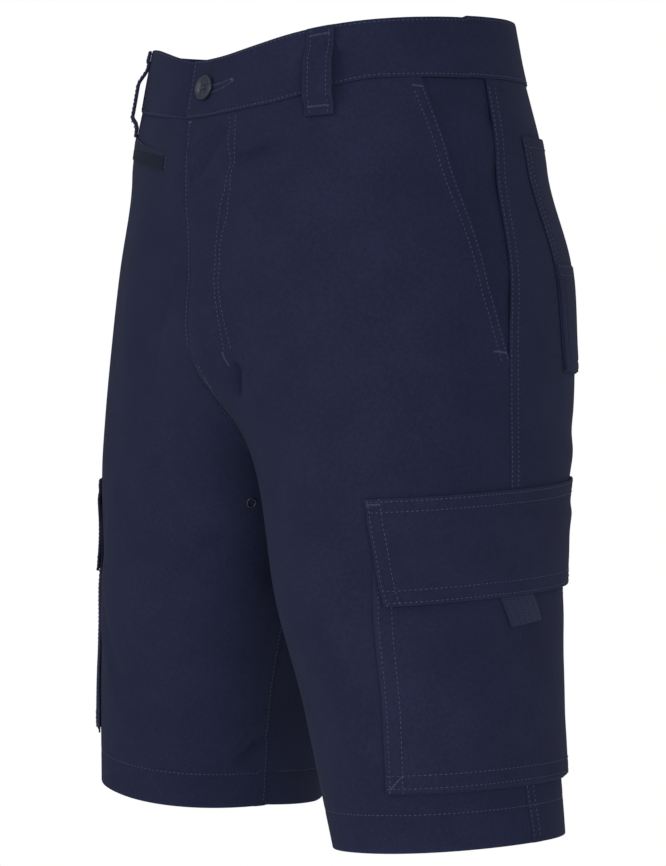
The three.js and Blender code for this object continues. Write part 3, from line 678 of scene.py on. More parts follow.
# %% Facings in the hand pockets
FACING_BOTTOM = 252
for side, name in SIDES:
    def facing_place(u, v, side=side):
        depth = BAND_SIDE + (FACING_BOTTOM - BAND_SIDE) * v
        start = pocket_edge(depth) - 7
        angle = start + (SIDE_SEAM + 1.2 - start) * u
        gape = 2.6 * np.sin(math.pi * v) * (1 - smooth(u, 0.3, 0.95))
        low = depth + (band_depth(angle) - BAND_SIDE) * (1 - v)
        return side, angle, low, -2.2 - gape

    def facing_relief(left, right, down, up, angle, depth):
        wrinkle = 0.9 * wave(depth + 0.55 * left, 38, 61) * smooth(down, 6, 30) * smooth(up, 10, 40)
        pull = -1.2 * bell(depth, 56 + 0.012 * (left - 34) ** 2, 5)
        return wrinkle + pull, 0.0

    piece = cloth(f"hand_pocket_facing_{name}", stations(60, 3), stations(209, 3), facing_place,
                  facing_relief)
    sewn(piece, body_twill, f"pocket_facing_{name}")


# %% Places in a four-sided patch
def patch(front, back, front_depth, back_depth):
    """Each pair is top and bottom: angles and depths of the front and the back corners."""

    def at(u, v):
        a, b = front[0] + (front[1] - front[0]) * v, back[0] + (back[1] - back[0]) * v
        c, d = (one[0] + (one[1] - one[0]) * v for one in (front_depth, back_depth))
        return a + (b - a) * u, c + (d - c) * u

    return at


def patch_relief(rise=0.0, hem=0.0, top=False):
    """Edges rounded down, two rows of stitches round three sides or all four, and small puckers."""

    def relief(left, right, down, up, angle, depth):
        sides = np.minimum(np.minimum(left, right), np.minimum(up, down) if top else up)
        push = np.zeros(left.shape) - 0.5 * bell(sides, 0, 0.7)
        for one in (ROW_ONE, ROW_TWO):
            push -= 0.38 * bell(sides, one, 0.8)
        push += 0.16 * (wave(depth, 8, 13, 21) + wave(left, 9, 15, 25)) * np.exp(-sides / 10)
        push += rise * smooth(sides, 10, 40)
        if hem:
            push += 0.3 * (1 - smooth(down, hem, hem + 1.5)) - 0.25 * bell(down, hem - 1, 0.8)
        return push, rubbed(sides, down) * 0.9

    return relief


# %% Back pockets and their second layer
LAID = 0.9
back_patch = patch((17.5, 31.5), (74, 83), (82, 246), (79, 249))
for side, name in SIDES:
    def pocket_place(u, v, side=side):
        return (side, *back_patch(u, v), LAID + 0.7)

    def layer_place(u, v, side=side):
        return (side, *back_patch(0.006 + 0.988 * u, 0.535 + 0.459 * v), LAID + 1.9)

    piece = cloth(f"back_patch_pocket_{name}", stations(150), stations(168), pocket_place,
                  patch_relief(0.2, 8), 0.8)
    sewn(piece, pocket_twill, f"back_pocket_{name}")
    piece = cloth(f"back_pocket_layer_{name}", stations(148), stations(77), layer_place,
                  patch_relief(top=True), 0.8)
    sewn(piece, pocket_twill, f"back_pocket_patch_{name}")

# %% The small welt on the right front
welt_patch = patch((-79.4, -79.4), (-48, -47), (84.5, 97.8), (66, 84.5))


def welt_place(u, v):
    return (-1, *welt_patch(u, v), 1.0)


def welt_relief(left, right, down, up, angle, depth):
    """The folded wedge above the strip and the thin rims round it are made paler, back near the body's navy;
    the strip between keeps the darker twill, whose colour paints its shade.
    """
    edge = np.minimum(np.minimum(left, right), up)
    wedge = 1.2 + 0.085 * np.maximum(left, 0)
    fold = 1 - smooth(down, wedge - 0.4, wedge + 0.4)
    rim = 1 - smooth(edge, 1.0, 1.7)
    push = -0.7 * (1 - fold) * smooth(edge, 1.0, 1.7) - 0.4 * bell(edge, 0, 0.7)
    return push, 5.0 * np.maximum(fold, 0.6 * rim)


# The welt is cut from the darker twill, whose colour paints the shade of its strip.
piece = cloth("fob_welt", stations(76, 3, 0.6, 6, 6), stations(16.5, 1.2, 0.6, 5, 5), welt_place,
              welt_relief, 0.8)
sewn(piece, welt_painted_shade_twill, "fob_pocket_welt")

# %% Cargo pockets, flaps and tabs
CARGO_TOP, CARGO_LENGTH = 349, 182
MOUTH_STAND, STAND, STAND_FROM, STAND_TO = 2.1, 5.5, 372, 425
flap_patch = patch((-56, -48.5), (67, 60), (330, 403), (320, 395))


def cargo_at(u, v):
    """The cargo pocket is a little wider at its bottom."""
    down = v**1.4
    front, back = -52 - 12 * down, 63 + 11 * down
    return front + (back - front) * u, CARGO_TOP + CARGO_LENGTH * v


def pocket_stand(depth):
    return MOUTH_STAND + (STAND - MOUTH_STAND) * smooth(depth, STAND_FROM, STAND_TO)


def cargo_relief(side):
    """The right pocket's front edge lies flatter than the left one's."""
    front_rise = 3.2 if side > 0 else 24

    def relief(left, right, down, up, angle, depth):
        sides = np.minimum(np.minimum(left, right), up)
        risen = smooth(np.minimum(right, up), -0.5, 3.2) * smooth(left, -0.5, front_rise)
        fall = -(pocket_stand(depth) - LAID - 0.9) * (1 - risen)
        rows = 0.38 * (bell(sides, 4.6, 0.8) + bell(sides, 13.4, 0.9))
        fold = -0.8 * bell(left, 20, 2.2) * smooth(up, 12, 40)
        slack = 0.55 * wave(depth + 0.35 * left, 47, 71, 113) * smooth(sides, 12, 40)
        pucker = 0.18 * (wave(depth, 8, 13, 21) + wave(left, 9, 15, 25)) * np.exp(-sides / 12)
        return fall - rows + fold + slack + pucker, rubbed(sides - 2.6) * 0.9

    return relief


def flap_relief(left, right, down, up, angle, depth):
    sides = np.minimum(np.minimum(left, right), up)
    rows = sum(0.36 * bell(sides, one, 0.8) for one in (2.4, 10.4))
    rows = rows + sum(0.3 * bell(down, one, 0.8) for one in (2.0, 9.0))
    curl = 0.5 * wave(left, 83, 127) * smooth(down, 30, 70)
    pucker = 0.16 * wave(left, 9, 15, 25) * np.exp(-sides / 9)
    return curl - rows + pucker - 0.4 * bell(sides, 0, 0.7), rubbed(sides, down)


for side, name in SIDES:
    def cargo_place(u, v, side=side):
        angle, depth = cargo_at(u, v)
        return side, angle, depth, pocket_stand(depth)

    def flap_place(u, v, side=side):
        angle, depth = flap_patch(u, v)
        climb = pocket_stand(depth) * smooth(depth, 336, 347)
        lift = 1.6 * smooth(v, 0.45, 0.78)
        if side < 0:
            lift = lift * smooth(u, 0.05, 0.35)
            climb = climb * (0.6 + 0.4 * smooth(u, 0, 0.15))
        return side, angle, depth, 2.5 + climb + lift

    piece = cloth(f"side_cargo_pocket_{name}", stations(205), stations(182), cargo_place,
                  cargo_relief(side), 1.2)
    sewn(piece, pocket_twill, f"cargo_pocket_{name}")
    piece = cloth(f"side_cargo_flap_{name}", stations(210), stations(74, 2.6), flap_place, flap_relief,
                  1.8, 0.5)
    sewn(piece, pocket_twill, f"cargo_flap_{name}")


# %% [markdown]
# Webbing
#
# The tab under the flap is a folded strip of herringbone webbing, whose ribs turn back every few
# millimetres.

# %% Herringbone
def herringbone(name, colour):
    material, shader, node = nodes_of(name, colour, 0.82, sheen_weight=0.05, sheen_roughness=0.5)
    shader.inputs["Specular IOR Level"].default_value = 0.12
    split = node("SeparateXYZ", _0=node("UVMap", uv_map="cloth").outputs[0])
    turned = node("Math", operation="PINGPONG", _0=split.outputs[0], _1=3.4 * MM)
    run = node("Math", operation="ADD", _0=turned.outputs[0], _1=split.outputs[1])
    turns = node("Math", operation="MULTIPLY", _0=run.outputs[0], _1=2 * math.pi / (2.1 * MM))
    ribs = node("Math", operation="SINE", _0=turns.outputs[0])
    shade = node("MapRange", _0=ribs.outputs[0], _1=-1.0, _2=1.0, _3=0.55, _4=1.45)
    tint(material, colour, node, shade)
    emboss(material, node, ribs, 0.7, 0.3)
    return material


webbing = herringbone("navy_webbing", (0.0175, 0.0215, 0.055))
for side, name in SIDES:
    def tab_place(u, v, side=side):
        depth = 388 + 33 * v - 3 * u * v
        angle = -0.8 + (14.5 + 1.5 * v) * u + 5.3 * v
        return side, angle, depth, pocket_stand(depth) + 1.5 + 0.9 * np.sin(math.pi * v)

    piece = cloth(f"webbing_tab_{name}", np.linspace(0, 1, 14), np.linspace(0, 1, 20), tab_place, None,
                  1.6, 0.6)
    sewn(piece, webbing, f"cargo_tab_{name}")

# %% [markdown]
# Belt loops
#
# A loop is a strip folded under at both ends and sewn down there, and it stands off the band between them.

# %% Five loops
LOOP_WIDTH, LOOP_TOP, LOOP_BOTTOM, LOOP_END, LOOP_EASE = 20, 1, 68, 9, 10
LOOPS = {"front_left": -49.5, "front_right": -130.5, "back_left": 66, "back_right": 114, "back_middle": 90}


def loop_relief(left, right, down, up, angle, depth):
    sides = np.minimum(left, right)
    rows = 0.3 * bell(sides, 2.4, 0.8)
    folded = 0.8 * ((1 - smooth(down, 8, 9.5)) + (1 - smooth(up, 8, 9.5)))
    return folded - rows - 0.3 * bell(sides, 0, 0.7), rubbed(sides, down, up) * 0.9


for name, angle in LOOPS.items():
    half = 180 - angle if angle > 90 else angle
    half = -180 - half if half < -90 else half
    per_degree = float(np.linalg.norm(oval(1, angle + 1, 20) - oval(1, angle, 20)))
    spread = LOOP_WIDTH / 2 / per_degree

    def loop_place(u, v, angle=angle, spread=spread, half=half):
        depth = LOOP_TOP + (LOOP_BOTTOM - LOOP_TOP) * v
        on_band = 1 - smooth(depth, band_depth(half) - 8, band_depth(half) + 2)
        late = 5 if half < 0 else 0
        up = smooth(depth, LOOP_END + late - 1, LOOP_END + LOOP_EASE + 2 * late)
        down = smooth(depth, LOOP_BOTTOM - LOOP_END - LOOP_EASE + late, LOOP_BOTTOM - LOOP_END + 1 + late / 2)
        low, high = 1.9 + BAND_OUT * on_band, BAND_OUT + 6.8
        return 1, angle + spread * (2 * u - 1), depth, low + (high - low) * up * (1 - down)

    piece = cloth(f"loop_{name}", stations(20, 2, 0.8, 4, 4), stations(67, 2, 1, 10, 10), loop_place,
                  loop_relief, 1.9, 0.6)
    sewn(piece, body_twill, f"belt_loop_{name}")

# %% [markdown]
# Fly
#
# Behind the left front lie the zip, with its tape and its row of teeth, and a shield of cloth. They show
# only from above and inside. The teeth are one small block, copied down the chain.

# %% Zip and shield
ZIP_HALF, ZIP_TOP, ZIP_BOTTOM, ZIP_OUT = 13, 50, 232, -4.7
SHIELD_RIGHT, SHIELD_WIDTH, SHIELD_TOP, SHIELD_BOTTOM, SHIELD_OUT = -16, 52, 50, 238, -7.6


def front_middle(x, depth, out):
    """A place some millimetres left of the front's middle line, or right of it when negative."""
    return np.where(x < 0, -1.0, 1.0), near_middle(-1, depth, np.abs(x)), depth, out


def zip_place(u, v):
    return front_middle(ZIP_HALF * (2 * u - 1), ZIP_TOP + (ZIP_BOTTOM - ZIP_TOP) * v, ZIP_OUT)


def shield_place(u, v):
    depth = SHIELD_TOP + (SHIELD_BOTTOM - SHIELD_TOP) * v
    x = SHIELD_RIGHT + SHIELD_WIDTH * u
    taper = 1 - 0.5 * smooth(depth, SHIELD_BOTTOM - 40, SHIELD_BOTTOM) ** 2
    return front_middle(np.where(x > 0, x * taper, x), depth, SHIELD_OUT)


tape = twill("zip_tape", (0.013, 0.015, 0.031), rib=1.1, depth=0.06, mottle=0.08)
piece = cloth("zip_tape", np.linspace(0, 1, 15), np.linspace(0, 1, 60), zip_place, None, 0.7, 0.0)
sewn(piece, tape, "fly_zip")
piece = cloth("fly_shield_cloth", stations(52), stations(188), shield_place, None, 1.2)
sewn(piece, body_twill, "fly_shield")


# %% [markdown]
# Small copies
#
# Stitches and teeth are hundreds of alike small shapes. One is made by a bmesh operator, and its vertices
# are copied to each place with the direction of the row and of the cloth there.

# %% Copy one shape to many places
def copies(name, shape, spots, material):
    """spots holds centre, along and up for each copy, and its three sizes in mm."""
    verts = np.array([v.co for v in shape.verts])
    faces = np.array([[v.index for v in f.verts] for f in shape.faces])
    centre, along, up, size = (np.array(part, dtype=float) for part in zip(*spots))
    along /= np.linalg.norm(along, axis=1, keepdims=True)
    across = np.cross(up, along)
    across /= np.linalg.norm(across, axis=1, keepdims=True)
    up = np.cross(along, across)
    axes = np.stack([along, across, up], axis=1) * (size * MM)[:, :, None]
    points = centre[:, None] + np.einsum("vk,nkx->nvx", verts, axes)
    count = len(spots)
    joined = (faces[None] + (np.arange(count) * len(verts))[:, None, None]).reshape(-1, faces.shape[1])
    mesh = bpy.data.meshes.new(name)
    mesh.from_pydata(points.reshape(-1, 3).tolist(), [], joined.tolist())
    mesh.polygons.foreach_set("use_smooth", [True] * len(mesh.polygons))
    piece = bpy.data.objects.new(name, mesh)
    bpy.context.scene.collection.objects.link(piece)
    mesh.materials.append(material)
    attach(piece, "root")
    print(f"{name}: {count} copies, {len(mesh.polygons)} faces")


stitch_shape = bmesh.new()
bmesh.ops.create_icosphere(stitch_shape, subdivisions=1, radius=0.5)
stitch_shape.verts.index_update()

# %% Thread
PITCH, STITCH = 3.3, (2.45, 0.8, 0.6)
THREAD = (0.047, 0.053, 0.098)


def thread_material():
    material, shader, node = nodes_of("navy_thread", THREAD, 0.6)
    shader.inputs["Specular IOR Level"].default_value = 0.2
    noise = node("TexNoise", _0=node("TexCoord").outputs["Object"], _2=900.0)
    shade = node("MapRange", _0=noise.outputs[0], _1=0.3, _2=0.7, _3=0.75, _4=1.35)
    tint(material, THREAD, node, shade)
    return material


thread = thread_material()
sewing = {"sewing_body": [], "sewing_waist": [], "sewing_back_pockets": [], "sewing_cargo": []}


def path_points(side, places, shift=0.0):
    """Points and outward directions a millimetre apart along places, moved sideways by shift mm."""
    places = np.array(places, dtype=float)
    t = np.linspace(0, len(places) - 1, 60 * (len(places) - 1) + 1)
    angle, depth = (np.interp(t, np.arange(len(places)), places[:, k]) for k in (0, 1))
    sides = np.full(angle.shape, float(side))
    points, normals = oval(sides, angle, depth), outward(sides, angle, depth)
    run = np.gradient(points, axis=0)
    run /= np.linalg.norm(run, axis=1, keepdims=True) + 1e-9
    points = points + np.cross(normals, run) * shift
    return points, normals


def on_cloth(target, point, normal):
    """The point and direction of a sheet's own face under a place."""
    for name in ([target] if isinstance(target, str) else target):
        start = Vector((point + normal * 22) * MM)
        hit, face, _, _ = surfaces[name].ray_cast(start, Vector(-normal), 0.05)
        if hit is not None:
            return np.array(hit), np.array(face)
    return None


def sew(group, target, side, places, shifts=(0.0,), pitch=PITCH, size=STITCH):
    """Rows of stitches along places on a sheet."""
    for shift in shifts:
        points, normals = path_points(side, places, shift)
        reach = np.concatenate([[0], np.cumsum(np.linalg.norm(np.diff(points, axis=0), axis=1))])
        for here in np.arange(pitch / 2, reach[-1], pitch):
            point = np.array([np.interp(here, reach, points[:, k]) for k in range(3)])
            ahead = np.array([np.interp(here + 0.6, reach, points[:, k]) for k in range(3)])
            normal = np.array([np.interp(here, reach, normals[:, k]) for k in range(3)])
            found = on_cloth(target, point, normal / np.linalg.norm(normal))
            if found and np.linalg.norm(ahead - point) > 1e-6:
                sewing[group].append((found[0] + found[1] * 0.16 * MM, ahead - point, found[1], size))


def tack(group, target, side, start, end, width=2.2):
    """A bar tack: short threads laid side by side across a line."""
    points, normals = path_points(side, [start, end])
    length = np.linalg.norm(points[-1] - points[0])
    for t in np.linspace(0, 1, max(3, round(length / 0.55))):
        k = int(t * (len(points) - 1))
        found = on_cloth(target, points[k], normals[k])
        if found:
            across = np.cross(found[1], points[-1] - points[0])
            sewing[group].append((found[0] + found[1] * 0.15 * MM, across, found[1], (width, 0.6, 0.6)))


print("thread:", thread.name)

# %% [markdown]
# Rows of stitches
#
# Each row follows its own seam, found on the finished sheet by a ray, so that no stitch floats or sinks.

# %% Sew the body
depths_down = np.linspace(48, 568, 44)
for side, name in SIDES:
    front, back = f"front_panel_{name}", f"back_panel_{name}"
    seam = [(SIDE_SEAM, d) for d in depths_down]
    sew("sewing_body", back, side, seam, (1.8 * side, 8.0 * side))
    mouth = [(float(pocket_edge(d)), d) for d in np.linspace(50, 236, 16)]
    sew("sewing_body", front, side, mouth, (-1.8 * side, -8.0 * side))
    for depth in (50, 232):
        at = float(pocket_edge(depth))
        tack("sewing_body", front, side, (at - 0.6, depth), (at - 4, depth - 1))
    hem_depth = LENGTH - HEM
    sew("sewing_body", [front, back], side, [(a, hem_depth) for a in np.linspace(-176, 176, 70)])
    inseam = [(float(near_middle(-1, d, 0.5)), d) for d in np.linspace(268, 568, 26)]
    sew("sewing_body", front, side, inseam, (1.6 * side,))
seat = [(float(near_middle(1, d, 0.5)), d) for d in np.linspace(56, 312, 24)]
sew("sewing_body", "back_panel_left", 1, seat, (-1.6, -7.6))
FLY_INNER = [(-78.7, 56), (-77.1, 98), (-78.9, 117), (-82.4, 132), (-87.7, 157), (-91, 181),
             (-93.3, 199), (-96.1, 220), (-98.2, 232)]
FLY_OUTER = [(-76.4, 56), (-75.6, 78), (-76.1, 94), (-77, 117.5), (-80.4, 136), (-86.2, 157),
             (-89.9, 181), (-91.8, 199), (-93.5, 216), (-94.9, 230)]
sew("sewing_body", "front_panel_left", 1, FLY_INNER)
sew("sewing_body", "front_panel_left", 1, FLY_OUTER)
lap_row = [(float(near_middle(-1, d, lap_width(d) - 2)), d) for d in np.linspace(58, 226, 20)]
sew("sewing_body", "front_panel_left", -1, lap_row)
seam_row = [(float(near_middle(-1, d, 2)), d) for d in np.linspace(240, 312, 10)]
sew("sewing_body", "front_panel_left", 1, seam_row, (0.0, 5.6))
tack("sewing_body", "front_panel_left", 1, (-99, 232), (-100.5, 241))
tack("sewing_body", "front_panel_left", 1, (-117.5, 249), (-121, 257))
tack("sewing_body", "front_panel_left", -1, (-88.6, 56.5), (-86.8, 56.5))
sew("sewing_body", ["fob_welt", "front_panel_right"], -1, [(-79.2, 84), (-64, 75.5), (-49, 67)])
sew("sewing_body", ["fob_welt", "front_panel_right"], -1, [(-80.2, 85), (-80.2, 98)])
print("stitches on the body:", len(sewing["sewing_body"]))


# %% Sew the waist
def half_of(angle):
    near = angle + 360 if angle < -270 else angle
    return -180 - near if near < -90 else near


lower = [(a, float(band_depth(half_of(a)))) for a in np.linspace(-94, BAND_END + 0.5, 140)]
sew("sewing_waist", "waist_band", 1, [(a, d - 2.2) for a, d in lower])
sew("sewing_waist", "waist_band", 1, [(a, 2.2) for a, d in lower])
sew("sewing_waist", "waist_band", 1, [(BAND_END + 0.8, d) for d in (4, 16, 30, 46)])
for name, angle in LOOPS.items():
    sheet = f"loop_{name}"
    sew("sewing_waist", sheet, 1, [(angle, d) for d in (3, 20, 40, 66)], (-6.6, 6.6))
    wide = 3.1
    for depth in (7.5, 61.5):
        tack("sewing_waist", sheet, 1, (angle - wide, depth), (angle + wide, depth))
print("stitches on the waist:", len(sewing["sewing_waist"]))


# %% Sew the pockets
def outline(at, closed=False):
    """Places just inside the edge of a patch: down the front, along the bottom and up the back."""
    down = [at(0, v) for v in np.linspace(0.01, 0.995, 12)]
    along = [at(u, 1) for u in np.linspace(0.01, 0.99, 16)]
    back = [at(1, v) for v in np.linspace(0.995, 0.01, 12)]
    top = [at(u, 0) for u in np.linspace(0.99, 0.01, 16)]
    return [down, along, back] + ([top] if closed else [])


for side, name in SIDES:
    for line in outline(back_patch):
        sew("sewing_back_pockets", f"back_patch_pocket_{name}", side, line, (1.8 * side, 8.0 * side))
    hem_row = [(a, d + 7) for a, d in (back_patch(u, 0) for u in np.linspace(0.02, 0.98, 12))]
    sew("sewing_back_pockets", f"back_patch_pocket_{name}", side, hem_row)
    layer = [back_patch(u, 0.535) for u in np.linspace(0.02, 0.98, 14)]
    sew("sewing_back_pockets", f"back_pocket_layer_{name}", side, layer, (-1.8 * side, -8.0 * side))
    for line in outline(cargo_at):
        sew("sewing_cargo", f"side_cargo_pocket_{name}", side, line, (4.6 * side, 13.4 * side))
    for line in outline(flap_patch):
        sew("sewing_cargo", f"side_cargo_flap_{name}", side, line, (2.4 * side, 10.4 * side))
    top = [flap_patch(u, 0) for u in np.linspace(0.02, 0.98, 16)]
    sew("sewing_cargo", f"side_cargo_flap_{name}", side, top, (-2.0 * side, -9.0 * side))
    for u in (0.01, 0.95):
        start, end = flap_patch(u, 0.05), flap_patch(u + 0.04, 0.05)
        tack("sewing_cargo", f"side_cargo_flap_{name}", side, start, end)
    corner, inwards = cargo_at(0.025, 0.975), cargo_at(0.07, 0.925)
    tack("sewing_cargo", f"side_cargo_pocket_{name}", side, corner, inwards, 1.6)
print("stitches on pockets:", len(sewing["sewing_back_pockets"]) + len(sewing["sewing_cargo"]))

# %% [markdown]
# Buttonhole and button
#
# A keyhole buttonhole is edged with close threads. The button is turned from one profile, with four holes,
# and a cross of thread holds it on.

# %% The buttonhole's edge
hole = [(-86.5, 32.4), (-82, 30.6), (-78.6, 26.6), (-78.2, 25.2), (-79.4, 24.4), (-83, 25.8), (-86.5, 26.2)]
points, normals = path_points(1, hole)
for k in range(0, len(points) - 1, 7):
    found = on_cloth("waist_band", points[k], normals[k])
    if found:
        across = np.cross(found[1], points[k + 1] - points[k])
        sewing["sewing_waist"].append((found[0] + found[1] * 0.15 * MM, across, found[1], (2.1, 0.6, 0.6)))
for name, spots in sewing.items():
    copies(name, stitch_shape, spots, thread)


# %% The button
BUTTON_NAVY = (0.0105, 0.0135, 0.031)


def button_material():
    material, shader, node = nodes_of("navy_button", BUTTON_NAVY, 0.45)
    noise = node("TexNoise", _0=node("TexCoord").outputs["Object"], _2=260.0, _3=4.0)
    shade = node("MapRange", _0=noise.outputs[0], _1=0.3, _2=0.7, _3=0.85, _4=1.15)
    tint(material, BUTTON_NAVY, node, shade)
    drive(material, "Roughness", node("MapRange", _0=noise.outputs[0], _1=0.3, _2=0.7, _3=0.36, _4=0.52))
    return material


def lathe(bm, steps, join):
    """Turns a profile once round the Z axis and joins points that lie within join mm."""
    bmesh.ops.spin(bm, geom=bm.verts[:] + bm.edges[:], cent=(0, 0, 0), axis=(0, 0, 1),
                   angle=2 * math.pi, steps=steps, use_merge=True, use_duplicate=False)
    bmesh.ops.remove_doubles(bm, verts=bm.verts[:], dist=join * MM)
    bmesh.ops.recalc_face_normals(bm, faces=bm.faces[:])


def hole_spot(k, height):
    """The middle of one of the button's four holes."""
    turn = math.radians(45 + 90 * k)
    return Vector((HOLE_FROM_MIDDLE * math.cos(turn), HOLE_FROM_MIDDLE * math.sin(turn), height)) * MM


HOLE_FROM_MIDDLE, HOLE_RADIUS = 1.7, 0.9
BUTTON_ANGLE, BUTTON_DEPTH = -88.0, 27.5
PROFILE = [(0.01, 0), (8, 0), (8.8, 0.5), (9, 1.3), (8.8, 2.3), (8.2, 3), (7.5, 3), (6.9, 2.5),
           (6.2, 2.1), (0.01, 2.1)]
bm = bmesh.new()
last = None
for r, z in PROFILE:
    v = bm.verts.new((r * MM, 0, z * MM))
    if last:
        bm.edges.new((last, v))
    last = v
lathe(bm, 64, 0.02)
spot_normal = outward(np.array(1.0), np.array(BUTTON_ANGLE), np.array(BUTTON_DEPTH))
spot = (oval(1, BUTTON_ANGLE, BUTTON_DEPTH) + spot_normal * (BAND_OUT + 0.5)) * MM
seat_turn = Vector((0, 0, 1)).rotation_difference(Vector(spot_normal)).to_matrix().to_4x4()
onto_band = Matrix.Translation(Vector(spot)) @ seat_turn
bmesh.ops.transform(bm, matrix=onto_band, verts=bm.verts[:])
button = finished("button_disc", bm)
cutters = []
for k in range(4):
    cutter = bmesh.new()
    bmesh.ops.create_cone(cutter, cap_ends=True, segments=20, radius1=HOLE_RADIUS * MM,
                          radius2=HOLE_RADIUS * MM, depth=12 * MM)
    shift = Matrix.Translation(hole_spot(k, 0))
    bmesh.ops.transform(cutter, matrix=onto_band @ shift, verts=cutter.verts[:])
    cutters.append(finished(f"cutter_{k}", cutter))
for cutter in cutters:
    cut = button.modifiers.new("hole", "BOOLEAN")
    cut.object, cut.operation, cut.solver = cutter, "DIFFERENCE", "EXACT"
drilled = bpy.data.meshes.new_from_object(button.evaluated_get(bpy.context.evaluated_depsgraph_get()))
button.modifiers.clear()
button.data = drilled
for cutter in cutters:
    bpy.data.objects.remove(cutter)
button.data.materials.clear()
sewn(button, button_material(), "waist_button")
threads = []
for a, b in ((0, 2), (1, 3)):
    for slip in (-0.22, 0.22):
        ends = [onto_band @ hole_spot(k, 2.25) for k in (a, b)]
        run = np.array(ends[1] - ends[0])
        off = np.cross(spot_normal, run)
        middle = np.array((ends[0] + ends[1]) / 2) + off / np.linalg.norm(off) * slip * MM
        threads.append((middle, run, spot_normal, (3.6, 0.5, 0.5)))
copies("button_thread", stitch_shape, threads, thread)

# %% [markdown]
# Eyelets
#
# A small metal ring is pressed into each leg near the inseam. It is turned from a round section.

# %% Eyelets
EYELET_ANGLE, EYELET_DEPTH, EYELET_RADIUS, EYELET_WIRE = -155.0, 341.0, 3.2, 0.85
metal, shader, node = nodes_of("eyelet_metal", (0.05, 0.052, 0.065), 0.42, metallic=0.9)
noise = node("TexNoise", _0=node("TexCoord").outputs["Object"], _2=700.0)
drive(metal, "Roughness", node("MapRange", _0=noise.outputs[0], _1=0.3, _2=0.7, _3=0.3, _4=0.5))
for side, name in SIDES:
    low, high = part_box(f"vent_eyelet_{name}")
    middle = (Vector(low) + Vector(high)) / 2
    n = outward(np.array(float(side)), np.array(EYELET_ANGLE), np.array(EYELET_DEPTH))
    found = on_cloth(f"front_panel_{name}", oval(side, EYELET_ANGLE, EYELET_DEPTH), n)
    bm = bmesh.new()
    ring = bmesh.ops.create_circle(bm, cap_ends=False, segments=12, radius=EYELET_WIRE * MM)["verts"]
    stood = Matrix.Translation((EYELET_RADIUS * MM, 0, 0)) @ Matrix.Rotation(math.pi / 2, 4, "X")
    bmesh.ops.transform(bm, matrix=stood, verts=ring)
    lathe(bm, 40, 0.01)
    turned = Vector((0, 0, 1)).rotation_difference(Vector(found[1])).to_matrix().to_4x4()
    seat = Matrix.Translation(Vector(found[0]) + Vector(found[1]) * 0.1 * MM) @ turned
    bmesh.ops.transform(bm, matrix=seat @ Matrix.Diagonal((1, 1, 0.7, 1)), verts=bm.verts[:])
    piece = finished(f"eyelet_{name}", bm)
    sewn(piece, metal, f"vent_eyelet_{name}")
    away = (piece.data.vertices[0].co - middle).length / MM
    print(f"eyelet_{name} lies {away:.1f} mm from its solid's middle")

# %% Zip teeth
tooth = bmesh.new()
bmesh.ops.create_cube(tooth, size=1.0)
bmesh.ops.bevel(tooth, geom=tooth.edges[:], offset=0.15, affect="EDGES", segments=1, profile=0.5, material=-1)
bmesh.ops.triangulate(tooth, faces=tooth.faces[:])
tooth.verts.index_update()
teeth = []
for k, depth in enumerate(np.arange(54, 228, 1.3)):
    sign = 1 if k % 2 else -1
    side, angle, _, _ = front_middle(np.array(0.9 * sign), np.array(float(depth)), 0)
    n = outward(side, angle, np.array(float(depth)))
    centre = oval(side, angle, depth) + n * (ZIP_OUT + 0.35)
    teeth.append((centre * MM, (1.0, 0, 0), n, (2.6, 0.8, 1.0)))
zip_metal, *_ = nodes_of("zip_teeth", (0.02, 0.022, 0.035), 0.45)
copies("zip_teeth", tooth, teeth, zip_metal)

# %% [markdown]
# Camera, floor and light
#
# The camera stands to the front and the wearer's left, at the height of the hips, with a long lens. The
# floor is plain and pale, and the light is soft, with more of it from the front.

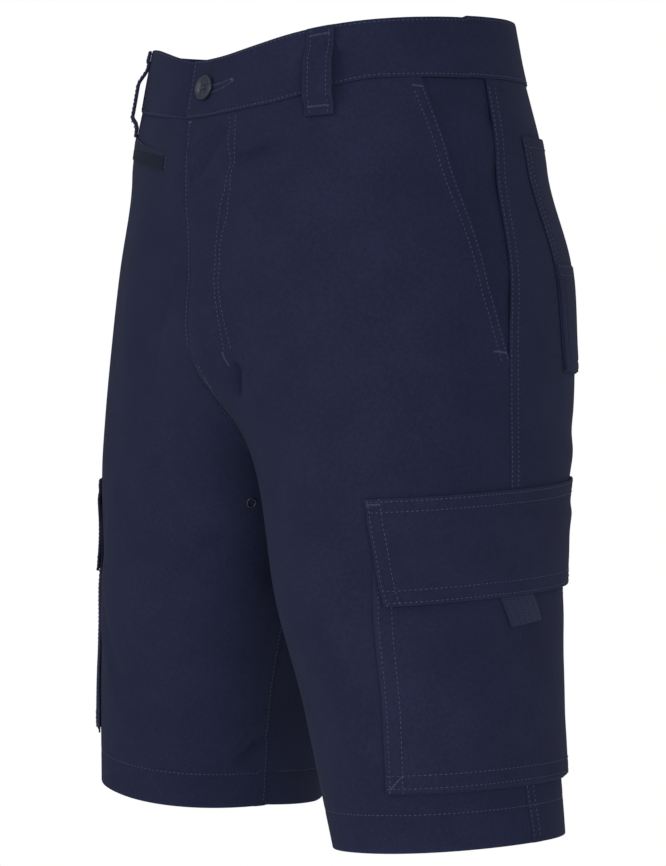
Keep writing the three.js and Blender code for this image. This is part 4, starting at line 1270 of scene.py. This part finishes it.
# %% Camera
EYE = Vector((1.3911, -1.1265, -0.2110))
LOOK_AZIMUTH, LOOK_DOWN, LENS = 50.9, 1.9, 100.64
camera = bpy.data.objects.new("camera", bpy.data.cameras.new("camera"))
bpy.context.scene.collection.objects.link(camera)
camera.data.sensor_width, camera.data.lens = 36, LENS
camera.location = EYE
a, e = math.radians(LOOK_AZIMUTH), math.radians(LOOK_DOWN)
look = Vector((-math.sin(a) * math.cos(e), math.cos(a) * math.cos(e), -math.sin(e)))
camera.rotation_euler = look.to_track_quat("-Z", "Y").to_euler()
camera.data.clip_start, camera.data.clip_end = 0.05, 100
bpy.context.scene.camera = camera

# %% Floor and light
floor_mesh = bmesh.new()
bmesh.ops.create_grid(floor_mesh, x_segments=2, y_segments=2, size=1.3)
bmesh.ops.translate(floor_mesh, vec=(0, 0, -1.0), verts=floor_mesh.verts[:])
floor = finished("floor", floor_mesh)
pale, *_ = nodes_of("pale_floor", (0.9, 0.9, 0.9), 0.9)
floor.data.materials.append(pale)

world = bpy.data.worlds.new("studio")
world.use_nodes = True
world.node_tree.nodes["Background"].inputs["Color"].default_value = (1, 1, 1, 1)
rays = world.node_tree.nodes.new("ShaderNodeLightPath")
dimmer = world.node_tree.nodes.new("ShaderNodeMapRange")
dimmer.inputs["To Min"].default_value, dimmer.inputs["To Max"].default_value = 0.38, 1.0
world.node_tree.links.new(rays.outputs["Is Camera Ray"], dimmer.inputs["Value"])
world.node_tree.links.new(dimmer.outputs[0], world.node_tree.nodes["Background"].inputs["Strength"])
bpy.context.scene.world = world
bpy.context.scene.view_settings.view_transform = "Standard"


def soft_light(name, place, aim, size, power):
    light = bpy.data.objects.new(name, bpy.data.lights.new(name, "AREA"))
    light.data.size, light.data.energy = size, power
    light.location = place
    light.rotation_euler = (Vector(aim) - Vector(place)).to_track_quat("-Z", "Y").to_euler()
    bpy.context.scene.collection.objects.link(light)


soft_light("key", (-0.6, -2.3, 0.9), (0, 0, -0.28), 1.0, 17)
soft_light("fill", (2.2, -1.2, -0.1), (0, 0, -0.28), 1.4, 29)
soft_light("low", (0.2, -1.6, -0.8), (0, 0, -0.4), 1.2, 4)
print("camera and lights are placed")
